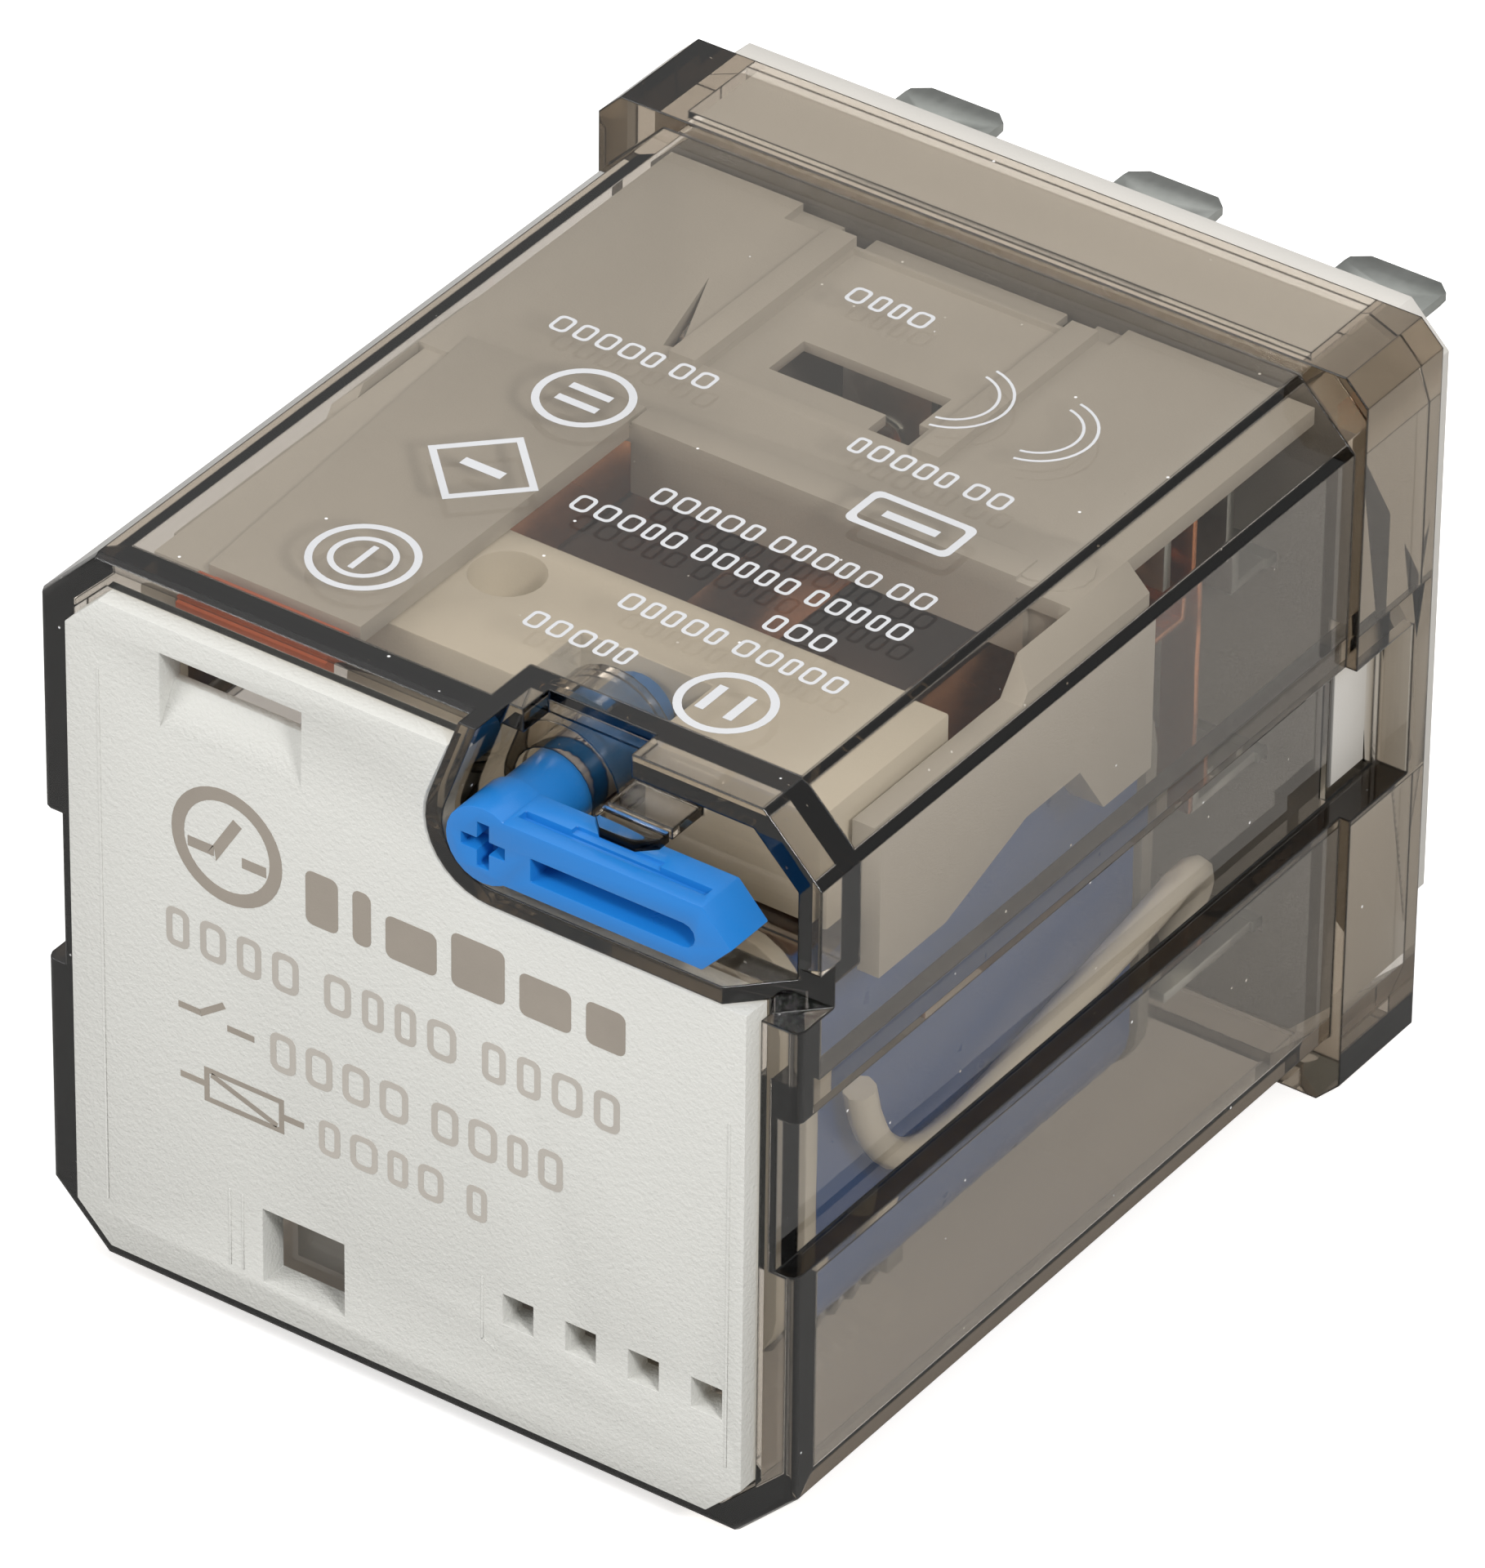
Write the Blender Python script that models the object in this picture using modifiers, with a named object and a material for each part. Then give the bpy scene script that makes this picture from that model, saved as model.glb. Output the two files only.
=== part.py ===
"""Three-pole plug-in power relay with a clear cover, a test lever and a flag indicator.

Units are metres. +Z is up with the relay lying on its long side, +Y points out of the
terminals and X runs across the width. The origin is the centre of the seating face that
meets the socket. Everything in front of that face (cover, coil, contacts) is at -Y.
"""

import math

import bmesh
import bpy
from mathutils import Matrix, Vector

MM = 0.001

# Overall sizes
BODY_W = 37.1 * MM  # cover across the flats, X
BODY_H = 34.7 * MM  # cover across the flats, Z
FLANGE_W = 38.2 * MM
FLANGE_H = 36.1 * MM
FRONT_Y = -46.2 * MM  # front face of the cover
FLANGE_Y = (-7.2 * MM, -1.6 * MM)
BODY_CHAMFER = 2.8 * MM
FLANGE_CHAMFER = 1.1 * MM
WALL = 1.1 * MM
CLEAR = 0.3 * MM  # gap between neighbouring pieces
FACE_EDGE = 0.4 * MM  # small chamfer around the cover's front face

# Side grooves and the latches that show at their rear ends
GROOVE_Z = (-3.4 * MM, 4.1 * MM)
GROOVE_DEPTH = 1.0 * MM
GROOVE_FLOOR = 0.95 * MM
GROOVE_END_Y = -2.9 * MM
LATCH_WINDOW_Y = (-6.7 * MM, -3.3 * MM)
LATCH_WINDOW_Z = (-3.3 * MM, 3.2 * MM)

# Label plate in its recess on the front
LABEL_HALF = (16.6 * MM, 16.0 * MM)
LABEL_CHAMFER = 1.7 * MM
LABEL_Y = (-47.0 * MM, -45.6 * MM)
RECESS_FLOOR_Y = -45.3 * MM
FLAG_WINDOW_X = (-11.9 * MM, -4.9 * MM)
FLAG_WINDOW_Z = (10.95 * MM, 14.65 * MM)
FLAG_LEDGE_Z = 12.9 * MM
SPY_WINDOW_X = (-7.1 * MM, -3.0 * MM)
SPY_WINDOW_Z = (-14.4 * MM, -10.7 * MM)
TEST_HOLE_X = 5.65 * MM
TEST_HOLE_PITCH = 3.08 * MM
TEST_HOLE_SIDE = 1.5 * MM
TEST_HOLE_Z = -10.4 * MM

# Test lever, its pocket in the cover and the break-off pip above it
PIVOT_X = 4.3 * MM
PIVOT_Z = 12.35 * MM
LEVER_Y = (-47.5 * MM, -45.0 * MM)
LEVER_HALF = 1.5 * MM
LEVER_END_X = 14.8 * MM
LEVER_TIP_X = 16.2 * MM
HEAD_R = 1.8 * MM
SHAFT_R = 1.6 * MM
SHAFT_TIP_Y = -36.8 * MM
TUBE_R = (1.9 * MM, 2.8 * MM)
TUBE_END_Y = -38.5 * MM
POCKET_R = 2.35 * MM  # round end of the pocket, about the lever's pivot
POCKET_RIM = 0.8 * MM
POCKET_STOP_DEG = 70  # slope of the pocket's side that stops the turned lever
POCKET_FLOOR_Y = -42.8 * MM
POCKET_BACK_Y = -41.6 * MM
POCKET_EDGE_Y = -44.8 * MM  # where the cover's top and side walls start in the pocket
LOCK_SLOT_X = (4.3 * MM, 9.5 * MM)
PIP_X = (8.4 * MM, 11.5 * MM)
PIP_Y = (-46.4 * MM, -45.05 * MM)
PIP_Z = (14.15 * MM, 14.65 * MM)
PIP_CHAMFER = 0.7 * MM
PIP_ROOT_Y = (-44.85 * MM, -42.5 * MM)  # the stub left on the cover once the pip is broken off

# Terminals: standard 4.75 x 0.5 mm tabs in three columns
POLE_PITCH = 11.1 * MM
POLES = (-POLE_PITCH, 0.0, POLE_PITCH)
BLADE_W = 4.75 * MM
BLADE_T = 0.5 * MM
BLADE_TIP_Y = 8.3 * MM
BLADE_TIP_CHAMFER = 0.65 * MM
BLADE_BEVEL = (1.1 * MM, 0.14 * MM)  # length, depth on each flat side of the tip
BLADE_HOLE_R = 0.7 * MM
BLADE_HOLE_Y = 5.7 * MM
STRIP_W = 4.4 * MM
STRIP_STEP = 0.02 * MM  # the run inside is this much thinner on each face
NC_ROW_Z = 12.4 * MM
NC_RUN_Z = 13.65 * MM  # the top row's strips step up to this height behind the base
NC_STEP_Y = (-7.8 * MM, -7.3 * MM)
NO_ROW_Z = 7.1 * MM
COMMON_ROW_Z = -2.6 * MM
COIL_ROW_Z = -11.2 * MM

# Contacts
CONTACT_Z = 10.9 * MM
NC_PLATE_Y = (-13.6 * MM, -13.1 * MM)
NC_PLATE_BOTTOM_Z = 9.0 * MM
NO_PLATE_Y = (-9.0 * MM, -8.5 * MM)
NO_PLATE_TOP_Z = 12.6 * MM
COMMON_PLATE_Y = (-11.25 * MM, -10.75 * MM)
COMMON_PLATE_TOP_Z = -0.4 * MM
LEAF_Y = (-11.8 * MM, -11.5 * MM)
LEAF_Z = (-2.5 * MM, 12.9 * MM)
LEAF_W = 4.8 * MM
LEAF_AXIS = (-11.65 * MM, -1.6 * MM)  # Y, Z of the line the leaves flex about
RIVET_HEAD_R = 1.2 * MM
RIVET_SHANK_R = 0.5 * MM
RIVET_HOLE_R = 0.65 * MM
RIVET_DOME = 0.45 * MM
RIVET_PLAY = 0.05 * MM

# Magnet system: coil axis along Y
COIL_Z = -3.8 * MM
CORE_HALF = (7.4 * MM, 3.2 * MM)  # half width, half height of each oval section
CORE_TAIL_HALF = (4.5 * MM, 2.2 * MM)
POLE_FACE_HALF = (7.8 * MM, 5.0 * MM)
POLE_FACE_Y = (-40.5 * MM, -39.9 * MM)
BOBBIN_Y = (-39.6 * MM, -14.9 * MM)
BOBBIN_FLANGE_T = 0.8 * MM
BOBBIN_BORE_HALF = (7.7 * MM, 3.5 * MM)
BOBBIN_TUBE_HALF = (8.5 * MM, 4.3 * MM)
BOBBIN_FLANGE_HALF = (13.8 * MM, 9.85 * MM)
BOBBIN_FLANGE_CORNER = 2.9 * MM
WRAP_Z = -3.95 * MM  # middle height of the finished winding
WINDING_HALF = ((8.8 * MM, 4.6 * MM), (12.8 * MM, 8.95 * MM))
TAPE_HALF = ((13.1 * MM, 9.25 * MM), (13.6 * MM, 9.75 * MM))
LEAD_R = 0.7 * MM
LEAD_X = 14.95 * MM
LEAD_START = (-37.6 * MM, -0.4 * MM)  # Y, Z of the sleeve's front end
LEAD_DIP = (-36.2 * MM, -7.6 * MM)  # Y, Z it is drawn towards as it turns back
LEAD_LOW = (-28.6 * MM, -6.2 * MM)
LEAD_HIGH = (-16.0 * MM, -4.0 * MM)
LEAD_TURN = (-11.0 * MM, -2.8 * MM)  # Y, Z it is drawn towards as it turns down
MAGNET_HALF_W = 8.0 * MM
YOKE_PLATE_Y = (-14.6 * MM, -13.1 * MM)
YOKE_TOP_Z = 4.0 * MM
YOKE_LIMB_Z = (-15.6 * MM, -14.2 * MM)
YOKE_FRONT_Y = -41.1 * MM
ARMATURE_Y = (-42.9 * MM, -41.5 * MM)
ARMATURE_Z = (-15.6 * MM, 8.1 * MM)
ARMATURE_SHELF_Y = -34.0 * MM
ARMATURE_SHELF_T = 1.2 * MM
ARMATURE_SHELF_HALF_W = 6.0 * MM
SPRING_CENTRE = (10.5 * MM, -15.0 * MM)  # X, Z
SPRING_Y = (-41.0 * MM, -31.0 * MM)
SPRING_R = 0.85 * MM
SPRING_WIRE_R = 0.2 * MM
SPRING_TURNS = 8
SPRING_EAR_X = 11.6 * MM
HINGE = (-41.35 * MM, -14.9 * MM)  # Y, Z of the armature's knife edge on the yoke

# Contact carrier and the springs it drives the contacts with
CARRIER_X = (-6.8 * MM, 15.55 * MM)
CARRIER_Y = (-40.5 * MM, -32.3 * MM)
CARRIER_Z = (8.45 * MM, 14.5 * MM)
CARRIER_HOLE = (-3.65 * MM, -34.9 * MM)
CARRIER_HOLE_R = 1.6 * MM
DRIVE_Y = (-31.95 * MM, -31.65 * MM)
DRIVE_Z = (7.6 * MM, 7.9 * MM)
DRIVE_TOP_Z = 13.7 * MM
DRIVE_TIP_Y = -12.5 * MM
DRIVE_TIP_TOP_Z = 8.8 * MM

# Indicator flag
FLAG_AXIS = (-37.5 * MM, 14.0 * MM)  # Y, Z
FLAG_X = (-12.7 * MM, -5.3 * MM)
FLAG_ARM_X = (-11.9 * MM, -7.3 * MM)
FLAG_Y = (-43.8 * MM, -43.2 * MM)
FLAG_Z = (13.75 * MM, 14.25 * MM)
FLAG_TOP_Z = 15.6 * MM
FLAG_PIN_R = 0.4 * MM
FLAG_PIN_X = (-14.7 * MM, -8.3 * MM)

# Grey contact frame
FRAME_TOP_Z = (14.4 * MM, 15.2 * MM)
FRAME_Y = (-24.3 * MM, -6.6 * MM)
FRAME_HALF_W = 15.8 * MM
FRAME_WALL_X = (15.85 * MM, 16.9 * MM)
FRAME_WALL_Y = (-39.4 * MM, -20.2 * MM)
FRAME_WALL_Z = (6.9 * MM, 13.6 * MM)
WALL_ARCH = (-34.8 * MM, -29.2 * MM, -25.4 * MM, -23.6 * MM)  # Y where the lower edge rises and falls
WALL_ARCH_Z = 8.8 * MM
CHEEK_Y = (-28.0 * MM, -20.2 * MM)
PARTITION_X = POLE_PITCH / 2
PARTITION_T = 1.0 * MM
PARTITION_FRONT_Y = -14.7 * MM
PARTITION_BOTTOM_Z = 0.5 * MM
RAIL_X = (-15.5 * MM, -13.8 * MM)
RAIL_Z = (13.1 * MM, 14.9 * MM)
LEDGE_Z = (14.55 * MM, 14.95 * MM)  # thin strip that joins the slab to the rail
RAIL_FRONT_Y = -42.4 * MM
SLAB_Z = (14.6 * MM, 15.45 * MM)  # flat arm over the flag, raised above the rail
SLAB_RIGHT_X = -5.3 * MM
SLAB_LEFT_X = (-12.8 * MM, -14.2 * MM)  # at its front and at its rear
FRONT_BEAM_X = (-5.2 * MM, 13.6 * MM)
FRONT_BEAM_Y = (-24.3 * MM, -22.8 * MM)
FRONT_BEAM_Z = (12.0 * MM, 15.4 * MM)
POST_CENTRE = (13.9 * MM, -22.4 * MM)  # X, Y of the round post beside the right cheek
POST_R = 1.6 * MM
POST_Z = (11.0 * MM, 15.3 * MM)
RIB_X = (-6.1 * MM, 5.9 * MM)
RIB_W = 1.3 * MM
RIB_H = 0.5 * MM
RIB_Y = (-19.5 * MM, -6.65 * MM)
PANEL_Y = (-18.9 * MM, -8.2 * MM)  # the sunk field between the ribs
PANEL_DEPTH = 0.3 * MM
REAR_STEP_X = (-9.1 * MM, 7.1 * MM)
REAR_STEP_Y = -8.0 * MM
FRAME_NOTCH_X = ((-7.0 * MM, -5.4 * MM), (4.1 * MM, 5.6 * MM))
FRAME_NOTCH_Y = -7.7 * MM
FRAME_WINDOW_X = (-3.4 * MM, 3.9 * MM)
FRAME_WINDOW_Y = (-17.2 * MM, -14.7 * MM)
WINDOW_STEP_X = (2.4 * MM, 4.4 * MM)
WINDOW_STEP_Y = (-18.5 * MM, -17.0 * MM)

# Base
BASE_PLUG_Y = -6.2 * MM
BASE_PLATE_Y = -1.3 * MM
BASE_HALF = (18.4 * MM, 17.6 * MM)
BASE_TOP_CHAMFER = 1.9 * MM
BASE_BOTTOM_CHAMFER = 6.6 * MM
SLOT_PLAY = 0.2 * MM
SHOULDER_HALF_W = 15.2 * MM  # raised top and bottom of the base inside the cover's flange
SHOULDER_Y = (-5.6 * MM, -0.9 * MM)

ROUND_STEPS = 24
SMALL_STEPS = 14
WIRE_BEVEL_RESOLUTION = 2


# ---------------------------------------------------------------- scene and materials


def clear_scene():
    for obj in list(bpy.data.objects):
        bpy.data.objects.remove(obj, do_unlink=True)


def new_collection(name):
    collection = bpy.data.collections.new(name)
    bpy.context.scene.collection.children.link(collection)
    return collection


def material(name, colour, roughness, metallic=0.0, alpha=1.0):
    made = bpy.data.materials.new(name)
    made.use_nodes = True
    shader = made.node_tree.nodes["Principled BSDF"]
    shader.inputs["Base Color"].default_value = (*colour, 1.0)
    shader.inputs["Roughness"].default_value = roughness
    shader.inputs["Metallic"].default_value = metallic
    shader.inputs["Alpha"].default_value = alpha
    return made


clear_scene()
PARTS = new_collection("control_relay")
CUTTERS = new_collection("cutters")

SMOKED = material("smoked_polycarbonate", (0.24, 0.20, 0.17), 0.08, alpha=0.35)
LABEL_GREY = material("label_grey", (0.80, 0.79, 0.76), 0.55)
BASE_GREY = material("base_grey", (0.66, 0.64, 0.60), 0.5)
LEVER_BLUE = material("lever_blue", (0.10, 0.42, 0.85), 0.4)
FLAG_ORANGE = material("flag_orange", (0.85, 0.30, 0.10), 0.5)
IVORY = material("ivory_plastic", (0.86, 0.82, 0.71), 0.5)
COIL_BLUE = material("coil_tape_blue", (0.10, 0.24, 0.50), 0.35)
BOBBIN_WHITE = material("bobbin_white", (0.85, 0.83, 0.78), 0.5)
ENAMEL = material("enamelled_copper", (0.55, 0.22, 0.08), 0.35, metallic=0.8)
COPPER = material("spring_copper", (0.72, 0.38, 0.22), 0.35, metallic=1.0)
TINNED = material("tinned_brass", (0.62, 0.63, 0.63), 0.35, metallic=1.0)
SILVER = material("contact_silver", (0.80, 0.79, 0.76), 0.25, metallic=1.0)
STEEL = material("zinc_plated_steel", (0.55, 0.56, 0.57), 0.4, metallic=1.0)
SPRING_STEEL = material("spring_steel", (0.45, 0.45, 0.46), 0.3, metallic=1.0)


# ---------------------------------------------------------------- shape helpers


def add_object(name, data, collection=None):
    obj = bpy.data.objects.new(name, data)
    (collection or PARTS).objects.link(obj)
    return obj


def as_cutter(obj):
    for holder in list(obj.users_collection):
        holder.objects.unlink(obj)
    CUTTERS.objects.link(obj)
    obj.hide_render = True
    obj.display_type = "WIRE"
    return obj


def baked_mesh(obj):
    """The object's evaluated shape as a new mesh, with loose caps welded."""
    bpy.context.view_layer.update()
    graph = bpy.context.evaluated_depsgraph_get()
    mesh = bpy.data.meshes.new_from_object(obj.evaluated_get(graph))
    shape = bmesh.new()
    shape.from_mesh(mesh)
    bmesh.ops.remove_doubles(shape, verts=shape.verts, dist=1e-6)
    bmesh.ops.recalc_face_normals(shape, faces=shape.faces)
    shape.to_mesh(mesh)
    shape.free()
    return mesh


def block(name, x, y, z):
    """A box between two values on each axis."""
    shape = bmesh.new()
    size = Vector((x[1] - x[0], y[1] - y[0], z[1] - z[0]))
    centre = Vector((x[0] + x[1], y[0] + y[1], z[0] + z[1])) / 2
    bmesh.ops.create_cube(shape, size=1.0)
    bmesh.ops.scale(shape, vec=size, verts=shape.verts)
    bmesh.ops.translate(shape, vec=centre, verts=shape.verts)
    mesh = bpy.data.meshes.new(name)
    shape.to_mesh(mesh)
    shape.free()
    return add_object(name, mesh)


STAND = {
    "X": Matrix(((0, 0, 1), (1, 0, 0), (0, 1, 0))).to_4x4(),
    "Y": Matrix(((1, 0, 0), (0, 0, -1), (0, 1, 0))).to_4x4(),
    "Z": Matrix.Identity(4),
}


def extruded(name, outline, axis, span):
    """A flat outline given thickness along one axis; the outline is in the other two, in X, Y, Z order."""
    curve = bpy.data.curves.new(name, "CURVE")
    curve.dimensions = "2D"
    curve.fill_mode = "BOTH"
    curve.extrude = (span[1] - span[0]) / 2
    spline = curve.splines.new("POLY")
    spline.points.add(len(outline) - 1)
    for point, (u, v) in zip(spline.points, outline):
        point.co = (u, v, 0, 1)
    spline.use_cyclic_u = True
    flat = add_object(name + "_outline", curve)
    mesh = baked_mesh(flat)
    bpy.data.objects.remove(flat, do_unlink=True)
    middle = [0.0, 0.0, 0.0]
    middle["XYZ".index(axis)] = (span[0] + span[1]) / 2
    mesh.transform(Matrix.Translation(middle) @ STAND[axis])
    return add_object(name, mesh)


def rod(name, centre, radius, y, steps=ROUND_STEPS):
    """A round bar along Y; centre is its X and Z."""
    shape = bmesh.new()
    length = y[1] - y[0]
    bmesh.ops.create_cone(
        shape, cap_ends=True, segments=steps, radius1=radius, radius2=radius, depth=length
    )
    bmesh.ops.rotate(shape, verts=shape.verts, matrix=Matrix.Rotation(math.pi / 2, 3, "X"))
    bmesh.ops.translate(
        shape, vec=(centre[0], (y[0] + y[1]) / 2, centre[1]), verts=shape.verts
    )
    mesh = bpy.data.meshes.new(name)
    shape.to_mesh(mesh)
    shape.free()
    return add_object(name, mesh)


def upright_rod(name, centre, radius, z, steps=ROUND_STEPS):
    """A round bar along Z; centre is its X and Y."""
    made = rod(name, (0.0, 0.0), radius, z, steps)
    made.data.transform(Matrix.Rotation(math.pi / 2, 4, "X"))
    made.data.transform(Matrix.Translation((centre[0], centre[1], 0.0)))
    return made


def cross_rod(name, centre, radius, x, steps=SMALL_STEPS):
    """A round bar along X; centre is its Y and Z."""
    made = rod(name, (0.0, 0.0), radius, x, steps)
    made.data.transform(Matrix.Rotation(-math.pi / 2, 4, "Z"))
    made.data.transform(Matrix.Translation((0.0, centre[0], centre[1])))
    return made


def turned(name, profile, centre, steps=ROUND_STEPS):
    """A shape turned about a line along Y; the profile is (radius, y) from front to rear."""
    mesh = bpy.data.meshes.new(name)
    points = [(radius, 0.0, -y) for radius, y in profile]
    closed = all(radius > 0 for radius, _ in profile)
    links = [(i, i + 1) for i in range(len(points) - 1)]
    if closed:
        links.append((len(points) - 1, 0))
    mesh.from_pydata(points, links, [])
    obj = add_object(name, mesh)
    screw = obj.modifiers.new("Turn", "SCREW")
    screw.steps = steps
    screw.render_steps = steps
    screw.use_merge_vertices = True
    screw.merge_threshold = 1e-6
    obj.rotation_euler = (math.pi / 2, 0.0, 0.0)
    obj.location = (centre[0], 0.0, centre[1])
    return obj


def boolean(target, tool, operation):
    modifier = target.modifiers.new(tool.name, "BOOLEAN")
    modifier.operation = operation
    modifier.object = as_cutter(tool)
    return target


def cut(target, *tools):
    for tool in tools:
        boolean(target, tool, "DIFFERENCE")
    return target


def join(target, *tools):
    for tool in tools:
        boolean(target, tool, "UNION")
    return target


def chamfered(half_w, half_h, chamfer):
    """An eight-sided outline, X by Z, with equal 45 degree corners."""
    flat_w = half_w - chamfer
    flat_h = half_h - chamfer
    return [
        (flat_w, -half_h),
        (half_w, -flat_h),
        (half_w, flat_h),
        (flat_w, half_h),
        (-flat_w, half_h),
        (-half_w, flat_h),
        (-half_w, -flat_h),
        (-flat_w, -half_h),
    ]


def arc(centre, radius, start_deg, end_deg, count):
    step = (end_deg - start_deg) / count
    angles = [math.radians(start_deg + step * i) for i in range(count + 1)]
    return [
        (centre[0] + radius * math.cos(a), centre[1] + radius * math.sin(a)) for a in angles
    ]


def oval(half, middle_z, corner, count=5):
    """A rectangle with rounded corners, X by Z."""
    reach_x = half[0] - corner
    reach_z = half[1] - corner
    centres = ((1, 1, 0), (-1, 1, 90), (-1, -1, 180), (1, -1, 270))
    outline = []
    for side_x, side_z, start in centres:
        centre = (side_x * reach_x, middle_z + side_z * reach_z)
        outline += arc(centre, corner, start, start + 90, count)
    return outline


def finish(obj, look):
    obj.data.materials.clear()
    obj.data.materials.append(look)
    return obj


def smooth(obj):
    if obj.type == "CURVE":
        for spline in obj.data.splines:
            spline.use_smooth = True
    else:
        obj.data.shade_smooth()
    return obj


def repeated(first, name, places, look):
    """Copies of a finished piece at several X positions, numbered from the left."""
    mesh = baked_mesh(first)
    mesh.transform(first.matrix_world)
    mesh.name = name
    bpy.data.objects.remove(first, do_unlink=True)
    made = []
    for number, x in enumerate(places, start=1):
        copy = add_object(f"{name}_{number}", mesh)
        copy.location.x = x
        made.append(copy)
    finish(made[0], look)
    return made


def axis_empty(name, point):
    marker = add_object(name, None)
    marker.empty_display_size = 2 * MM
    marker.location = point
    return marker


def ride(marker, pieces, parent=None):
    """Hangs pieces on the empty that sits on their joint's axis, without moving them."""
    bpy.context.view_layer.update()
    if parent:
        marker.parent = parent
        marker.matrix_parent_inverse = parent.matrix_world.inverted()
        bpy.context.view_layer.update()
    for piece in pieces:
        piece.parent = marker
        piece.matrix_parent_inverse = marker.matrix_world.inverted()


# ---------------------------------------------------------------- cover


def inner_outline(play=0.0):
    """The inside of the cover's walls, less some play."""
    inset = WALL + play
    corner = BODY_CHAMFER - inset * (2 - math.sqrt(2))
    return chamfered(BODY_W / 2 - inset, BODY_H / 2 - inset, corner)


def pocket_outline(radius):
    """The lever pocket seen from the front: a round end about the pivot, open to the top and right."""
    slope = math.radians(POCKET_STOP_DEG)
    start = (
        PIVOT_X - radius * math.sin(slope),
        PIVOT_Z + radius * math.cos(slope),
    )
    rise = BODY_H / 2 - start[1]
    outline = [(start[0] + rise / math.tan(slope), BODY_H / 2)]
    outline += arc((PIVOT_X, PIVOT_Z), radius, 90 + POCKET_STOP_DEG, 270, 10)
    return outline


def pocket_block():
    outline = pocket_outline(POCKET_R + POCKET_RIM)
    bottom = outline[-1][1]
    outline += [
        (BODY_W / 2, bottom),
        (BODY_W / 2, BODY_H / 2 - BODY_CHAMFER),
        (BODY_W / 2 - BODY_CHAMFER, BODY_H / 2),
    ]
    return extruded("pocket_block", outline, "Y", (LABEL_Y[0], POCKET_BACK_Y))


def pocket_front_cut():
    """Opens the pocket past the cover's top and right faces, in front of the walls' edges."""
    outline = pocket_outline(POCKET_R)
    beyond = 2 * MM
    lean = beyond / math.tan(math.radians(POCKET_STOP_DEG))
    outline[0] = (outline[0][0] + lean, BODY_H / 2 + beyond)
    outline += [
        (BODY_W / 2 + beyond, outline[-1][1]),
        (BODY_W / 2 + beyond, BODY_H / 2 + beyond),
    ]
    return extruded("pocket_front_cut", outline, "Y", (LABEL_Y[0] - MM, POCKET_EDGE_Y))


def pocket_deep_cut():
    """The part of the pocket behind the walls' edges, inside the top and side walls."""
    outline = pocket_outline(POCKET_R)
    top = BODY_H / 2 - WALL
    side = BODY_W / 2 - WALL
    drop = (BODY_H / 2 - top) / math.tan(math.radians(POCKET_STOP_DEG))
    outline[0] = (outline[0][0] - drop, top)
    corner = BODY_CHAMFER - WALL * (2 - math.sqrt(2))
    outline += [(side, outline[-1][1]), (side, top - corner), (side - corner, top)]
    return extruded("pocket_deep_cut", outline, "Y", (POCKET_EDGE_Y - MM, POCKET_FLOOR_Y))


def rim_end_cut():
    """Slopes the pocket's lower rim back where it meets the right side."""
    near = BODY_W / 2 - 3.2 * MM
    depth = 4 * MM
    outline = [
        (near, LABEL_Y[0] - 0.1 * MM),
        (near + depth, LABEL_Y[0] - 0.1 * MM),
        (near + depth, LABEL_Y[0] + depth),
    ]
    return extruded("rim_end_cut", outline, "Z", (8.5 * MM, 10.5 * MM))


def groove_cutters(side):
    outer = side * (FLANGE_W / 2 + MM)
    floor = side * (BODY_W / 2 - GROOVE_DEPTH)
    inside = side * (BODY_W / 2 - GROOVE_DEPTH - 2 * MM)
    label = "right" if side > 0 else "left"
    groove = block(
        f"groove_{label}",
        sorted((outer, floor)),
        (FRONT_Y - 2 * MM, GROOVE_END_Y),
        GROOVE_Z,
    )
    window = block(
        f"latch_window_{label}", sorted((outer, inside)), LATCH_WINDOW_Y, LATCH_WINDOW_Z
    )
    return groove, window


def cover_cavity():
    cavity = extruded("cavity", inner_outline(), "Y", (RECESS_FLOOR_Y + WALL, 2 * MM))
    for side in (-1, 1):
        near = side * (BODY_W / 2 - GROOVE_DEPTH - GROOVE_FLOOR)
        far = side * BODY_W
        keep = block(
            f"groove_back_{side}",
            sorted((near, far)),
            (FRONT_Y, 3 * MM),
            (GROOVE_Z[0] - GROOVE_FLOOR, GROOVE_Z[1] + GROOVE_FLOOR),
        )
        cut(cavity, keep)
    return cavity


def flange_pocket(side):
    """Thins the flange's wall above (1) or below (-1) the base's shoulder."""
    near = side * (BODY_H / 2 - WALL - 0.5 * MM)
    far = side * (FLANGE_H / 2 - WALL)
    return block(
        f"flange_pocket_{side}",
        (-SHOULDER_HALF_W - CLEAR, SHOULDER_HALF_W + CLEAR),
        (SHOULDER_Y[0] - CLEAR, 2 * MM),
        sorted((near, far)),
    )


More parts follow.
